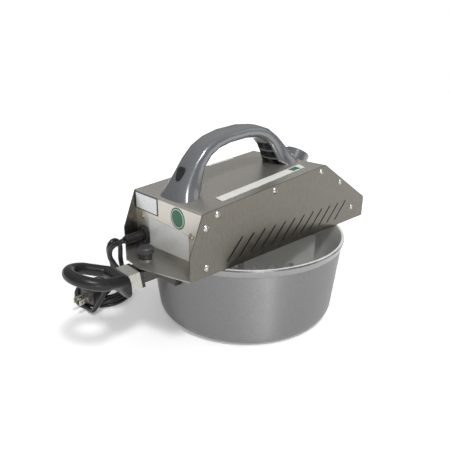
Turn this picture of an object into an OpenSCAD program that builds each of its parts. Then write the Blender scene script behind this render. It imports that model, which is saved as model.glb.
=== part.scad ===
// Electric mixing pot: a cast pot with one loop handle, and a sheet-metal motor head that sits
// across its rim and turns a bladed agitator inside it. Millimetres, +Z up. The origin is the
// centre of the pot's base, and +X runs along the head, away from the loop handle.

/* [Pot] */
// Outer radius of the rim
rim_r = 130; // [120:1:145]
// Height of the rim above the table
pot_h = 107.6; // [100:0.2:130]
// Outer radius of the wall just under the rim band
wall_top_r = 127.2; // [118:0.1:128]
// Outer radius of the wall at the base, before its corner is rounded
wall_foot_r = 117.4; // [108:0.1:119]
// Depth of the turned band below the rim
band_h = 10; // [6:0.5:14]
// Thickness of the cast wall
pot_wall = 3.5; // [2.5:0.1:5]
// Thickness of the base
pot_base = 5; // [3:0.5:8]
// Outer radius of the corner between base and wall
foot_round = 17; // [8:1:22]

/* [Loop handle] */
// Distance of the handle's centre line to the +Y side of the pot's axis
grip_y = 5; // [-5:1:8]
// Distance from the pot's axis to the sleeve's inner end
sleeve_x = 173; // [168:1:178]
// Length of the steel sleeve between bracket and handle
sleeve_l = 14; // [12:1:20]
// Width across the sleeve's flat top
sleeve_top_w = 28; // [26:1:34]
// Width across the sleeve's open foot
sleeve_foot_w = 37; // [34:1:44]
// Height of the sleeve
sleeve_h = 17.5; // [15:0.5:22]
// Height of the sleeve's top
sleeve_top_z = 103.4; // [98:0.2:106]
// Wall of the sleeve
sleeve_t = 1.2; // [0.8:0.1:2]
// Length of the loop from the sleeve to its tip
loop_l = 67; // [60:1:76]
// Width across the loop
loop_w = 66; // [56:1:76]
// Thickness of the loop's rod
loop_d = 13.5; // [12:0.5:17]
// Tilt of the loop above level
loop_tilt = 19; // [10:1:26]

/* [Housing] */
// Width over the two side panels
housing_w = 127; // [120:1:136]
// Distance of the housing's centre line to the -Y side of the pot's axis
housing_shift = 11; // [8:1:14]
// Thickness of the stainless sheet
sheet_t = 1.2; // [0.8:0.1:1.5]
// Gap between the pot's rim and the floor plate that rests on it
seat_gap = 0.4; // [0.3:0.1:0.5]
// Reach of the side panels toward the loop handle
near_reach = 153.5; // [150:0.5:158]
// Height of the knee in the side panels' near edge, above the floor plate
near_knee_h = 26.5; // [20:0.5:32]
// Distance from the pot's axis to the near end plate
near_plate_x = 135.5; // [133:0.5:138]
// Height of the cover's near top edge, above the floor plate
near_top_h = 70; // [68:0.5:76]
// Distance from the pot's axis to the fold where the cover slopes down
far_fold_x = 67.5; // [64:0.5:72]
// Height of that fold above the floor plate
far_fold_h = 89.5; // [87:0.5:94]
// Reach of the side panels at the far end
far_reach = 166; // [160:1:172]
// Height of the side panels' far corner above the floor plate
far_knee_h = 28.5; // [24:0.5:34]
// Distance from the pot's axis to the far end plate
far_plate_x = 141; // [138:1:146]
// Width of the cover's folded flanges behind the side panels
flange_w = 12; // [10:1:14]
// Outer radius of the folds
fold_r = 2.5; // [2:0.5:4]
// Number of cooling slots in each side panel
slot_count = 12; // [6:1:12]
// Distance from one slot to the next
slot_pitch = 18.1; // [16:0.1:18.6]
// Width of a slot
slot_w = 2; // [1.4:0.1:3]
// Height that a slot climbs at 45 degrees
slot_rise = 21.8; // [14:0.2:24]

/* [Clamp] */
// Reach of the floor plate's tongue toward the loop handle
tongue_x = 173.5; // [171:0.5:180]
// Width of the tongue's straight end
tongue_w = 31; // [24:1:36]
// Distance from the pot's axis to the clamp screw
clamp_x = 154.5; // [152:0.5:158]
// Diameter of the clamp knob
clamp_knob_d = 18.6; // [16:0.2:22]
// Height of the clamp knob
clamp_knob_h = 13; // [11:0.5:18]
// Diameter of the clamp screw
clamp_screw_d = 6; // [5:0.5:8]

/* [Carry handle] */
// Length of the handle over its feet
carry_l = 201; // [190:1:206]
// Height of the grip's centre above the cover
carry_h = 53; // [46:1:60]
// Width of the grip
grip_w = 30; // [26:1:34]
// Depth of the grip
grip_t = 16; // [13:0.5:20]
// Width of a foot
foot_w = 50; // [42:1:54]
// Length of a foot along the cover
foot_l = 30; // [24:1:34]

/* [Drive] */
// Diameter of the agitator's shaft
shaft_d = 12; // [10:1:14]
// Number of teeth on the worm wheel
wheel_teeth = 36; // [36:4:40]
// Module of the worm and its wheel
gear_module = 1.4; // [1.3:0.05:1.4]
// Pitch diameter of the worm
worm_d = 16; // [15.5:0.5:16.5]
// Height of the worm's axis above the floor plate
worm_h = 38; // [37:0.5:39]
// Diameter of the motor's case
motor_d = 56; // [50:1:56]
// Length of the motor's case
motor_l = 72; // [60:1:74]

/* [Agitator] */
// Distance from the pot's axis to the blades' upper ends
blade_x = 96; // [84:1:100]
// Distance from the pot's axis to the blades' lower ends
blade_foot_x = 107; // [101:1:109]
// Height of the blades' upper edges above the table
blade_top_z = 97; // [88:1:99]
// Thickness of a blade
blade_t = 2; // [1.5:0.1:3]
// Diameter of the holes in the blades
blade_hole_d = 12; // [8:0.5:14]
// Distance from one blade hole to the next
blade_hole_pitch = 26.5; // [22:0.5:27]
// Angle at which the blades stand
blade_turn = 33.4; // [0:0.1:60]
// Outer diameter of the agitator's hub
hub_d = 20; // [18:0.5:24]

/* [Controls and cord] */
// Diameter of the switch knob on the sloped face
dial_d = 36; // [30:1:40]
// Height of the switch knob
dial_h = 19; // [14:1:22]
// Diameter of the mains cord
cord_d = 6; // [5:0.5:6]
// Length of the cord's bend relief outside its flange
boot_l = 24; // [20:1:30]
// Diameter of the bend relief's flange
gland_d = 24; // [20:1:28]

/* [Hidden] */

// Clearances and shared small sizes
fit = 0.05;
gap = 0.3;
cut = 1;
fine_fn = 96;
round_fn = 48;
small_fn = 32;

// Heights and places that several pieces share
floor_z = pot_h + seat_gap;
deck_z = floor_z + sheet_t;
side_y = housing_w / 2;
right_y = -housing_shift - side_y;
left_y = -housing_shift + side_y;
top_angle = atan((far_fold_h - near_top_h) / (far_fold_x + near_plate_x));
slope_angle = atan((far_fold_h - far_knee_h) / (far_reach - far_fold_x));
far_plate_h = far_fold_h - (far_plate_x - far_fold_x) * tan(slope_angle);

// Drive train, worked out from the gear sizes
wheel_pitch_r = wheel_teeth * gear_module / 2;
worm_pitch_r = worm_d / 2;
axis_gap = wheel_pitch_r + worm_pitch_r;
tooth_tip_share = 0.85;
tooth_root_share = 1.15;
wheel_tip_r = wheel_pitch_r + gear_module * tooth_tip_share;
wheel_root_r = wheel_pitch_r - gear_module * tooth_root_share;
worm_tip_r = worm_pitch_r + gear_module * tooth_tip_share;
worm_root_r = worm_pitch_r - gear_module * tooth_root_share;
worm_lead = PI * gear_module;
lead_angle = atan(worm_lead / (PI * worm_d));
worm_z = floor_z + worm_h;
wheel_w = 14;
shaft_r = shaft_d / 2;
rotor_shaft_r = 4;
bearing_r = 14;
bearing_w = 8;
small_bearing_r = 11;
small_bearing_w = 7;
case_x = 38;
case_wall = 5;
case_left_y = wheel_tip_r + case_wall + gap * 2;
case_right_y = -axis_gap - worm_tip_r - case_wall * 2;
case_lid_z = worm_z + wheel_w / 2 + case_wall + gap * 3;
lid_t = 10;
spigot_r = 19;
spigot_h = 8;
case_round = 6;

// Length of a circle arc as points, and a helper that rounds an open path and gives it thickness
function arc(cx, cy, r, a0, a1, n) = [for (i = [0:n]) let(a = a0 + (a1 - a0) * i / n)
    [cx + r * cos(a), cy + r * sin(a)]];
function unit(v) = v / norm(v);
function left_of(v) = [-v[1], v[0]];
// Corner of a path moved sideways by d, where the strip's two legs meet
function mitre(a, b, c, d) = let(u = unit(b - a), v = unit(c - b), n = unit(left_of(u) + left_of(v)))
    b + n * d / (n * left_of(u));
function side_path(p, d) = [for (i = [0:len(p) - 1])
    i == 0 ? p[0] + left_of(unit(p[1] - p[0])) * d :
    i == len(p) - 1 ? p[i] + left_of(unit(p[i] - p[i - 1])) * d :
    mitre(p[i - 1], p[i], p[i + 1], d)];
// Points of a path with its inner corners rounded: r is the radius on the path itself
function rounded(p, r, n) = [for (i = [0:len(p) - 1]) each
    (i == 0 || i == len(p) - 1 || r <= 0) ? [p[i]] :
    let(u = unit(p[i] - p[i - 1]), v = unit(p[i + 1] - p[i]),
        turn = (u[0] * v[1] - u[1] * v[0]) > 0 ? 1 : -1,
        bend = acos(max(-1, min(1, u * v))),
        start = p[i] - u * r * tan(bend / 2),
        c = start + left_of(u) * r * turn,
        a0 = atan2(start[1] - c[1], start[0] - c[0]))
    [for (k = [0:n]) c + r * [cos(a0 + turn * bend * k / n), sin(a0 + turn * bend * k / n)]]];
// Closed outline of a bent strip of thickness t on the left of path p
function strip(p, t, r, n) = let(inner = side_path(p, t), turn_out = r, turn_in = r - t)
    concat(rounded(p, turn_out, n), [for (i = [len(rounded(inner, turn_in, n)) - 1:-1:0]) rounded(inner, turn_in, n)[i]]);

// Pot, revolved from one profile
function wall_r(z) = wall_foot_r + (wall_top_r - wall_foot_r) * z / (pot_h - band_h);
band_step = 0.6;
rim_round = 1.6;
arc_steps = 8;
wall_slope = atan((wall_top_r - wall_foot_r) / (pot_h - band_h));
foot_inner = foot_round - pot_wall + cut;
function pot_outside() = concat([[0, 0]],
    arc(wall_foot_r - foot_round + foot_round * tan(wall_slope), foot_round, foot_round, -90, -wall_slope, arc_steps),
    [[wall_top_r, pot_h - band_h], [wall_top_r + band_step, pot_h - band_h + band_step],
    [rim_r, pot_h - rim_round], [rim_r - rim_round / 2, pot_h], [0, pot_h]]);
function pot_inside() = concat([[0, pot_base]],
    arc(wall_foot_r - pot_wall - foot_inner + foot_inner * tan(wall_slope), pot_base + foot_inner, foot_inner,
        -90, -wall_slope, arc_steps),
    [[wall_top_r - pot_wall, pot_h - band_h], [rim_r - pot_wall, pot_h], [rim_r - pot_wall, pot_h + cut],
    [0, pot_h + cut]]);
rivet_r = 2.5;
rivet_y = 18;
bracket_z = 88;
pot_fn = 180;

module pot_solid() { rotate_extrude($fn = pot_fn) polygon(pot_outside()); }

module rivet_places() {
    for (side = [-1, 1]) translate([-wall_r(bracket_z), grip_y + side * rivet_y, bracket_z]) children();
}

module pot() {
    color([0.62, 0.62, 0.64]) difference() {
        pot_solid();
        rotate_extrude($fn = pot_fn) polygon(pot_inside());
        rivet_places() rotate([0, 90, 0])
            cylinder(h = pot_wall * 6, r = rivet_r + fit, center = true, $fn = small_fn);
    }
}

// Bracket that carries the loop handle, and the round boss that takes the clamp screw
boss_r = 11;
arm_w = 26;
arm_h = 13.5;
pad_w = 46;
pad_h = 26;
pad_t = 5;
end_flange = 4;
bracket_arm_top = sleeve_top_z - (sleeve_h - arm_h) / 2;
clamp_r = clamp_screw_d / 2;

// Section of the sleeve, a channel that is open below, drawn on the plane square to the handle's axis
module sleeve_section(inset, low) {
    top = sleeve_top_w / 2 - inset;
    foot = sleeve_foot_w / 2 - inset;
    high = sleeve_h / 2;
    polygon([[-top, high - inset], [top, high - inset], [foot, -high - low], [-foot, -high - low]]);
}

// Places a section that is drawn in width and height at distance x on the handle's side
module on_grip(x, z) { translate([-x, grip_y, z]) rotate([90, 0, -90]) children(); }

sleeve_mid_z = sleeve_top_z - sleeve_h / 2;

module handle_bracket() {
    color([0.66, 0.66, 0.68]) difference() {
        union() {
            on_grip(sleeve_x - end_flange, sleeve_mid_z) linear_extrude(end_flange) sleeve_section(0, 0);
            translate([-sleeve_x + end_flange / 2, grip_y - arm_w / 2, bracket_arm_top - arm_h])
                cube([sleeve_x - wall_foot_r, arm_w, arm_h]);
            translate([-clamp_x, grip_y, bracket_arm_top - arm_h])
                cylinder(h = pot_h - bracket_arm_top + arm_h, r = boss_r, $fn = round_fn);
            translate([-wall_top_r - pad_t, grip_y - pad_w / 2, bracket_z - pad_h / 2])
                cube([pad_t * 4, pad_w, pad_h]);
        }
        pot_solid();
        translate([-clamp_x, grip_y, bracket_arm_top - arm_h - cut])
            cylinder(h = pot_h, r = clamp_r + fit, $fn = small_fn);
        on_grip(clamp_x + boss_r, sleeve_mid_z) cylinder(h = sleeve_x, r = loop_screw_r + fit, $fn = small_fn);
        rivet_places() rotate([0, 90, 0])
            cylinder(h = pad_t * 6, r = rivet_r + fit, center = true, $fn = small_fn);
    }
}

rivet_head_r = 4.5;
rivet_head_h = 2.2;

// A rivet through bracket pad and wall, with a domed head at each end
module bracket_rivets() {
    wall = wall_r(bracket_z);
    head = wall_top_r + pad_t - wall;
    color([0.72, 0.72, 0.74]) for (side = [-1, 1]) {
        reach = abs(grip_y + side * rivet_y) + rivet_head_r;
        tail = wall - sqrt(pow(wall - pot_wall, 2) - reach * reach) + rivet_head_r * tan(wall_slope);
        translate([-wall, grip_y + side * rivet_y, bracket_z]) rotate([0, 90, 0]) {
            translate([0, 0, -head]) cylinder(h = head + tail, r = rivet_r, $fn = small_fn);
            translate([0, 0, tail]) dome(rivet_head_r, rivet_head_h);
            translate([0, 0, -head]) mirror([0, 0, 1]) dome(rivet_head_r, rivet_head_h);
        }
    }
}

// Low domed head of radius r and height h, standing on the level z = 0
module dome(r, h) {
    ball = (r * r + h * h) / (2 * h);
    rotate_extrude($fn = small_fn) intersection() {
        translate([0, h - ball]) circle(r = ball, $fn = round_fn);
        square([r, h]);
    }
}

module handle_sleeve() {
    color([0.82, 0.82, 0.8]) on_grip(sleeve_x, sleeve_mid_z) linear_extrude(sleeve_l) difference() {
        sleeve_section(0, 0);
        sleeve_section(sleeve_t, cut);
    }
}

// Loop handle: a flared base that tapers into a closed loop of round rod
loop_x = sleeve_x + sleeve_l;
loop_r = loop_d / 2;
loop_tip_r = loop_w / 2 - loop_r;
loop_tip_a = loop_l - loop_w / 2;
loop_base_t = 12;
loop_root_y = 15;
loop_lift = 3;
loop_screw_r = 2.5;
loop_screw_head_r = 4.5;
loop_screw_head_h = 3.5;
base_w = 42;
base_h = 28;
base_low_z = 76;
base_corner_r = 11;
base_t = 3;
base_web_a = 17;

// Frame of the loop: x along the handle away from the pot, z square to the loop's plane
module loop_frame() { translate([-loop_x, grip_y, sleeve_mid_z + loop_lift]) rotate([0, -loop_tilt, 180]) children(); }

// One stretch of the loop's rod between two points of its plane
module rod(p, q) {
    hull() {
        translate([p[0], p[1], 0]) sphere(r = loop_r, $fn = small_fn);
        translate([q[0], q[1], 0]) sphere(r = loop_r, $fn = small_fn);
    }
}

module loop_handle() {
    color([0.09, 0.09, 0.09]) difference() {
        union() {
            loop_frame() {
                translate([loop_tip_a, 0, 0]) rotate([0, 0, -90]) rotate_extrude(angle = 180, $fn = round_fn)
                    translate([loop_tip_r, 0]) circle(r = loop_r, $fn = small_fn);
                for (side = [-1, 1]) rod([loop_tip_a, side * loop_tip_r], [loop_r, side * loop_root_y]);
            }
            hull() {
                for (y = [-1, 1]) for (z = [-1, 1]) on_grip(loop_x, base_low_z + base_h / 2)
                    translate([y * (base_w / 2 - base_corner_r), z * (base_h / 2 - base_corner_r), 0])
                    cylinder(h = base_t, r = base_corner_r, $fn = small_fn);
                loop_frame() for (side = [-1, 1]) translate([base_web_a - loop_r, side * loop_root_y, 0])
                    sphere(r = loop_r, $fn = small_fn);
            }
        }
        translate([-loop_x, grip_y - loop_w / 2, 0]) cube([loop_x, loop_w, pot_h * 2]);
        on_grip(loop_x - cut, sleeve_mid_z) cylinder(h = loop_l, r = loop_screw_r + fit, $fn = small_fn);
        on_grip(loop_x + loop_base_t, sleeve_mid_z)
            cylinder(h = loop_l, r = loop_screw_head_r + gap, $fn = small_fn);
    }
}

module loop_handle_screw() {
    color([0.75, 0.75, 0.75]) {
        on_grip(clamp_x + boss_r + gap, sleeve_mid_z)
            cylinder(h = loop_x + loop_base_t - clamp_x - boss_r - gap, r = loop_screw_r, $fn = small_fn);
        on_grip(loop_x + loop_base_t, sleeve_mid_z)
            cylinder(h = loop_screw_head_h, r = loop_screw_head_r, $fn = small_fn);
    }
}

// Housing: two side panels, one bent cover between them and the floor plate below
top_screw_shares = [0.1, 0.53, 0.957];
slope_screw_share = 0.487;
screw_inset = 4.5;
screw_drop = 6.2;
near_low_h = 10;
near_mid_h = 54.4;
far_low_h = 19;
screw_r = 2;
head_r = 3.9;
head_h = 2.3;
screw_l = 8;
knee_r = 6;
slot_first_x = 101.5;
slot_low_h = 9.5;
far_side = [far_reach, floor_z];
near_edge = [-near_plate_x, floor_z + near_top_h];
fold_edge = [far_fold_x, floor_z + far_fold_h];
far_edge = [far_plate_x, floor_z + far_plate_h];

function top_z(x) = near_edge[1] + (x - near_edge[0]) * tan(top_angle);
function slope_z(x) = fold_edge[1] - (x - fold_edge[0]) * tan(slope_angle);
top_run = far_fold_x + near_plate_x;
panel_screw_at = concat(
    [[-near_plate_x + screw_inset, floor_z + near_low_h], [-near_plate_x + screw_inset, floor_z + near_mid_h],
    [far_plate_x - screw_inset, floor_z + far_low_h]],
    [for (s = top_screw_shares) let(x = -near_plate_x + top_run * s) [x, top_z(x) - screw_drop]],
    [let(x = far_fold_x + (far_plate_x - far_fold_x) * slope_screw_share) [x, slope_z(x) - screw_drop]]);

function panel_outline() = concat([[-near_reach, floor_z], [-near_reach, floor_z + near_knee_h], near_edge, fold_edge],
    [for (q = rounded([fold_edge, [far_reach, floor_z + far_knee_h], far_side], knee_r, arc_steps)) q],
    [far_side]);

// Stands a drawing of the X-Z plane up at y, thickness toward -Y
module stand_up(y, t) { translate([0, y, 0]) rotate([90, 0, 0]) linear_extrude(t) children(); }

// A bore along Y at each panel screw
module panel_bores(y, r) {
    for (p = panel_screw_at) translate([p[0], y, p[1]]) rotate([90, 0, 0])
        cylinder(h = sheet_t * 8, r = r, center = true, $fn = small_fn);
}

module slot_shape() {
    slot_l = slot_rise * sqrt(2);
    rotate(45) {
        translate([0, -slot_w / 2]) square([slot_l, slot_w]);
        circle(r = slot_w / 2, $fn = small_fn);
        translate([slot_l, 0]) circle(r = slot_w / 2, $fn = small_fn);
    }
}

module side_panel(outer_y) {
    difference() {
        stand_up(outer_y, sheet_t) polygon(panel_outline());
        stand_up(outer_y + cut, sheet_t + cut * 2) for (i = [0:slot_count - 1])
            translate([-slot_first_x + i * slot_pitch, floor_z + slot_low_h]) slot_shape();
        panel_bores(outer_y, screw_r + fit);
    }
}

module right_side_panel() { color([0.72, 0.71, 0.68]) side_panel(right_y + sheet_t); }
module left_side_panel() { color([0.72, 0.71, 0.68]) side_panel(left_y); }

cover_path = [[far_plate_x, deck_z], far_edge, fold_edge, near_edge, [-near_plate_x, deck_z]];
inner_w = housing_w - sheet_t * 2;
relief_w = 1.2;
cord_y = 36;
cord_h = 16;
gland_bore_r = 6.5;
end_screw_y = [-55.5, 37];
end_screw_h = 41;
dial_y = 0;
dial_run = 29;
bush_r = 4.8;

// Frame on the sloped face at the switch: z is the outward normal
module on_slope() {
    translate([far_fold_x + dial_run * cos(slope_angle), dial_y, floor_z + far_fold_h - dial_run * sin(slope_angle)])
        rotate([0, slope_angle, 0]) children();
}

// Frame on the top plate below the carry handle's middle: x runs up the plate, z is the outward normal
carry_run = 104;
module on_top() {
    translate([near_edge[0], -housing_shift, near_edge[1]]) rotate([0, -top_angle, 0])
        translate([carry_run, 0, 0]) children();
}

module top_cover() {
    color([0.76, 0.74, 0.7]) difference() {
        union() {
            stand_up(left_y - sheet_t, inner_w) polygon(strip(cover_path, sheet_t, fold_r, arc_steps));
            for (y = [left_y - sheet_t, right_y + sheet_t * 2])
                stand_up(y, sheet_t) polygon(strip(cover_path, flange_w, fold_r, arc_steps));
        }
        for (i = [1:len(cover_path) - 2]) {
            inner = side_path(cover_path, flange_w)[i];
            lean = cover_path[i] - inner;
            translate([inner[0], left_y + cut, inner[1]]) rotate([90, -atan2(lean[1], lean[0]), 0])
                translate([-flange_w, -relief_w / 2, 0])
                    cube([flange_w + norm(lean) - fold_r - sheet_t, relief_w, housing_w + cut * 2]);
        }
        panel_bores(left_y, screw_r + fit);
        panel_bores(right_y, screw_r + fit);
        translate([-near_plate_x, cord_y, deck_z + cord_h]) rotate([0, 90, 0])
            cylinder(h = sheet_t * 4, r = gland_bore_r, center = true, $fn = round_fn);
        end_bores(screw_r + fit);
        on_slope() cylinder(h = sheet_t * 4, r = bush_r + fit, center = true, $fn = round_fn);
        bolt_bores(carry_bolt_r + fit);
    }
}

module end_bores(r) {
    for (y = end_screw_y) translate([-near_plate_x, y, floor_z + end_screw_h]) rotate([0, 90, 0])
        cylinder(h = sheet_t * 8, r = r, center = true, $fn = small_fn);
}

// Floor plate with the tongue that reaches over the clamp's boss, and its turned-up side flanges
tongue_shoulder_x = 10;
lip_h = 10;
lip_x = [-122, 128];
floor_gap = 0.1;
case_foot_x = 32;
case_foot_y = [-47, 27];

module case_foot_places() {
    for (x = [-case_foot_x, case_foot_x]) for (y = case_foot_y) translate([x, y, 0]) children();
}

function floor_outline() = [
    [-near_reach - floor_gap, right_y], [-tongue_x, grip_y - tongue_w / 2], [-tongue_x + 2, grip_y + tongue_w / 2],
    [-near_reach - floor_gap, left_y], [-near_reach - floor_gap, left_y - sheet_t - floor_gap],
    [far_reach - knee_r, left_y - sheet_t - floor_gap], [far_reach - knee_r, right_y + sheet_t + floor_gap],
    [-near_reach - floor_gap, right_y + sheet_t + floor_gap]];

module floor_plate() {
    color([0.7, 0.7, 0.68]) difference() {
        union() {
            translate([0, 0, floor_z]) linear_extrude(sheet_t) polygon(floor_outline());
            for (y = [left_y - sheet_t * 2 - floor_gap * 2, right_y + sheet_t * 3 + floor_gap * 2])
                stand_up(y, sheet_t) polygon([[-near_plate_x + flange_w * 2, floor_z], [far_plate_x - flange_w * 2, floor_z],
                    [far_plate_x - flange_w * 2 - lip_h / 2, deck_z + lip_h],
                    [-near_plate_x + flange_w * 2 + lip_h / 2, deck_z + lip_h]]);
        }
        translate([0, 0, floor_z - cut]) cylinder(h = sheet_t + cut * 2, r = spigot_r + fit, $fn = fine_fn);
        translate([-clamp_x, grip_y, floor_z - cut]) cylinder(h = sheet_t + cut * 2, r = clamp_r + gap, $fn = round_fn);
        translate([0, 0, floor_z]) case_foot_places()
            cylinder(h = sheet_t * 4, r = screw_r + fit, center = true, $fn = small_fn);
        translate([0, 0, floor_z]) clip_screw_places()
            cylinder(h = sheet_t * 4, r = screw_r + fit, center = true, $fn = small_fn);
        translate([0, 0, floor_z]) stop_rivet_places()
            cylinder(h = sheet_t * 4, r = screw_r + fit, center = true, $fn = small_fn);
    }
}

// Stops below the floor plate that centre the head inside the rim
stop_angles = [-24, 14, 166, 204];
stop_r = wall_top_r - pot_wall - gap;
stop_w = 7;
stop_h = 8;
stop_arc = 14;

module stop_rivet_places() { for (a = stop_angles) rotate(a) translate([stop_r - stop_w / 2, 0, 0]) children(); }

module rim_stops() {
    color([0.85, 0.85, 0.83]) difference() {
        for (a = stop_angles) rotate(a - stop_arc / 2) rotate_extrude(angle = stop_arc, $fn = pot_fn)
            translate([stop_r - stop_w, floor_z - stop_h]) square([stop_w, stop_h]);
        translate([0, 0, floor_z]) stop_rivet_places()
            cylinder(h = stop_h, r = screw_r + fit, center = true, $fn = small_fn);
    }
}

module stop_rivets() {
    color([0.7, 0.7, 0.7]) stop_rivet_places() {
        translate([0, 0, floor_z - stop_h / 2 + gap]) cylinder(h = stop_h / 2 - gap + sheet_t, r = screw_r, $fn = small_fn);
        translate([0, 0, deck_z]) dome(head_r, head_h);
    }
}

// Pan-head screw whose head stands on the level z = 0 and whose shank points down
module pan_screw(l) {
    dome_screw_l = l;
    translate([0, 0, -dome_screw_l]) cylinder(h = dome_screw_l, r = screw_r, $fn = small_fn);
    difference() {
        dome(head_r, head_h);
        for (turn = [0, 90]) rotate(turn) translate([-head_r * 0.55, -head_h * 0.16, head_h * 0.45])
            cube([head_r * 1.1, head_h * 0.32, head_h]);
    }
}

module panel_screws() {
    color([0.75, 0.74, 0.72]) for (p = panel_screw_at) {
        translate([p[0], right_y, p[1]]) rotate([90, 0, 0]) pan_screw(screw_l);
        translate([p[0], left_y, p[1]]) rotate([-90, 0, 0]) pan_screw(screw_l);
    }
}

module end_screws() {
    color([0.72, 0.6, 0.35]) for (y = end_screw_y)
        translate([-near_plate_x, y, floor_z + end_screw_h]) rotate([0, -90, 0]) pan_screw(screw_l / 2);
}

// Carry handle: one moulded bow, swept through sections of the plane that cuts the housing lengthwise.
// Each row is share of half length, share of height, lean of the section, share of foot width and of foot length.
bow_rows = [
    [0.000, 1.000, 0, 0.610, 0.516], [0.140, 1.000, 2, 0.610, 0.516], [0.330, 0.943, 17, 0.615, 0.516],
    [0.480, 0.821, 36, 0.620, 0.548], [0.600, 0.623, 54, 0.640, 0.613], [0.693, 0.377, 66, 0.700, 0.774],
    [0.762, 0.170, 72, 0.800, 0.935], [0.846, 0.000, 90, 1.000, 1.000]];
bow_fn = 32;
bow_power_share = 0.625;
carry_half = carry_l / 2;
carry_bolt_r = 2.5;
carry_bolt_y = 12;
carry_bolt_share = 0.8;
bow_skin = 3;
bow_rib = 2.4;
cap_w = 11;
cap_l = 17;
cap_t = 4;
cap_proud = 0.8;

// Row of the bow at a fractional index
function bow_row(u) = let(i = min(floor(u), len(bow_rows) - 2), f = u - i) bow_rows[i] * (1 - f) + bow_rows[i + 1] * f;
function flat_root(v) = sign(v) * pow(abs(v), bow_power_share);
// Ring of points for one row; grow is added to both half sizes and lift moves it toward the bow's inside
function bow_ring(u, side, grow, lift) = let(q = bow_row(u), lean = q[2],
    half_w = q[3] * foot_w / 2 + grow, half_t = q[4] * foot_l / 2 + grow)
    [for (k = [0:bow_fn - 1]) let(a = 360 * k / bow_fn, y = half_w * flat_root(cos(a)),
        t = half_t * flat_root(sin(a)) - lift)
        [side * (q[0] * carry_half + t * sin(lean)), y, q[1] * carry_h + t * cos(lean)]];

// Closed skin over a list of rings that have the same number of points
function skin_faces(m, n) = concat([[for (k = [0:n - 1]) k]],
    [for (i = [0:m - 2]) for (k = [0:n - 1]) let(a = i * n + k, b = i * n + (k + 1) % n) each [
        [a, a + n, b], [b, a + n, b + n]]],
    [[for (k = [n - 1:-1:0]) (m - 1) * n + k]]);
module skin(rings, n) { polyhedron([for (r = rings) each r], skin_faces(len(rings), n), convexity = 8); }

bow_last = len(bow_rows) - 1;
function bow_span(side, u0, u1, steps, grow, lift) =
    [for (i = [0:steps]) bow_ring(u0 + (u1 - u0) * i / steps, side, grow, lift)];
// The hollows of a leg, open toward the inside of the bow and parted by two ribs
bow_hollows = [[3.6, 4.55], [4.75, 5.55], [5.75, 7]];
bow_open = 4;

module bow() {
    skin(concat(bow_span(-1, bow_last, 0, bow_last * 2, 0, 0), bow_span(1, 1 / 2, bow_last, bow_last * 2 - 1, 0, 0)), bow_fn);
}

// Frame on the outer face of a leg, z outward
cap_row = 5.05;
module on_leg(side) {
    q = bow_row(cap_row);
    half_t = q[4] * foot_l / 2;
    translate([side * (q[0] * carry_half + half_t * sin(q[2])), 0, q[1] * carry_h + half_t * cos(q[2])])
        rotate([0, side * q[2], 0]) children();
}

// Oval with straight sides, long axis across the leg's height
module oval(w, l, h) {
    linear_extrude(h) {
        square([l - w, w], center = true);
        for (e = [-1, 1]) translate([e * (l - w) / 2, 0]) circle(r = w / 2, $fn = small_fn);
    }
}

function leg_bolt_s() = carry_bolt_share * carry_half;

module bolt_bores(r) {
    on_top() for (side = [-1, 1]) for (y = [-carry_bolt_y, carry_bolt_y])
        translate([side * leg_bolt_s(), y, 0]) cylinder(h = bolt_up * 2, r = r, center = true, $fn = small_fn);
}

bolt_up = 12;
post_r = 5;

module carry_handle() {
    color([0.5, 0.5, 0.52]) difference() {
        union() {
            difference() {
                on_top() bow();
                on_top() for (side = [-1, 1]) for (h = bow_hollows)
                    skin(side > 0 ? bow_span(1, h[0], h[1], 4, -bow_skin, bow_open) :
                        bow_span(-1, h[1], h[0], 4, -bow_skin, bow_open), bow_fn);
            }
            on_top() for (side = [-1, 1]) for (y = [-carry_bolt_y, carry_bolt_y])
                translate([side * leg_bolt_s(), y, 0]) cylinder(h = bolt_up + 2, r = post_r, $fn = small_fn);
        }
        bolt_bores(carry_bolt_r + fit);
        on_top() for (side = [-1, 1]) on_leg(side) translate([0, 0, -cap_t]) oval(cap_w + fit, cap_l + fit, cap_t + cut * 4);
    }
}

module carry_handle_caps() {
    color([0.05, 0.05, 0.05]) on_top() for (side = [-1, 1]) on_leg(side)
        translate([0, 0, -cap_t]) oval(cap_w, cap_l, cap_t + cap_proud);
}

module carry_handle_bolts() {
    color([0.75, 0.75, 0.75]) on_top() for (side = [-1, 1]) for (y = [-carry_bolt_y, carry_bolt_y])
        translate([side * leg_bolt_s(), y, -sheet_t]) {
            cylinder(h = bolt_up - 1 + sheet_t, r = carry_bolt_r, $fn = small_fn);
            translate([0, 0, -head_h]) cylinder(h = head_h, r = head_r, $fn = small_fn);
        }
}

// Clamp: a knob on a screw, with a washer that stays on the screw
knob_skirt_h = 2;
washer_t = 1.5;
washer_r = 8;
stud_down = 8;
knob_z = deck_z + washer_t + 0.6;
knob_neck_r = 6.5;
knob_chamfer = 1.5;
knob_cap_share = 0.5;
knob_flutes = 12;
flute_r = 1;

module at_clamp(z) { translate([-clamp_x, grip_y, z]) children(); }

module clamp_washer() {
    color([0.8, 0.8, 0.78]) at_clamp(deck_z + 0.1) difference() {
        cylinder(h = washer_t, r = washer_r, $fn = round_fn);
        translate([0, 0, -cut]) cylinder(h = washer_t + cut * 2, r = clamp_r + fit, $fn = small_fn);
    }
}

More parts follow.
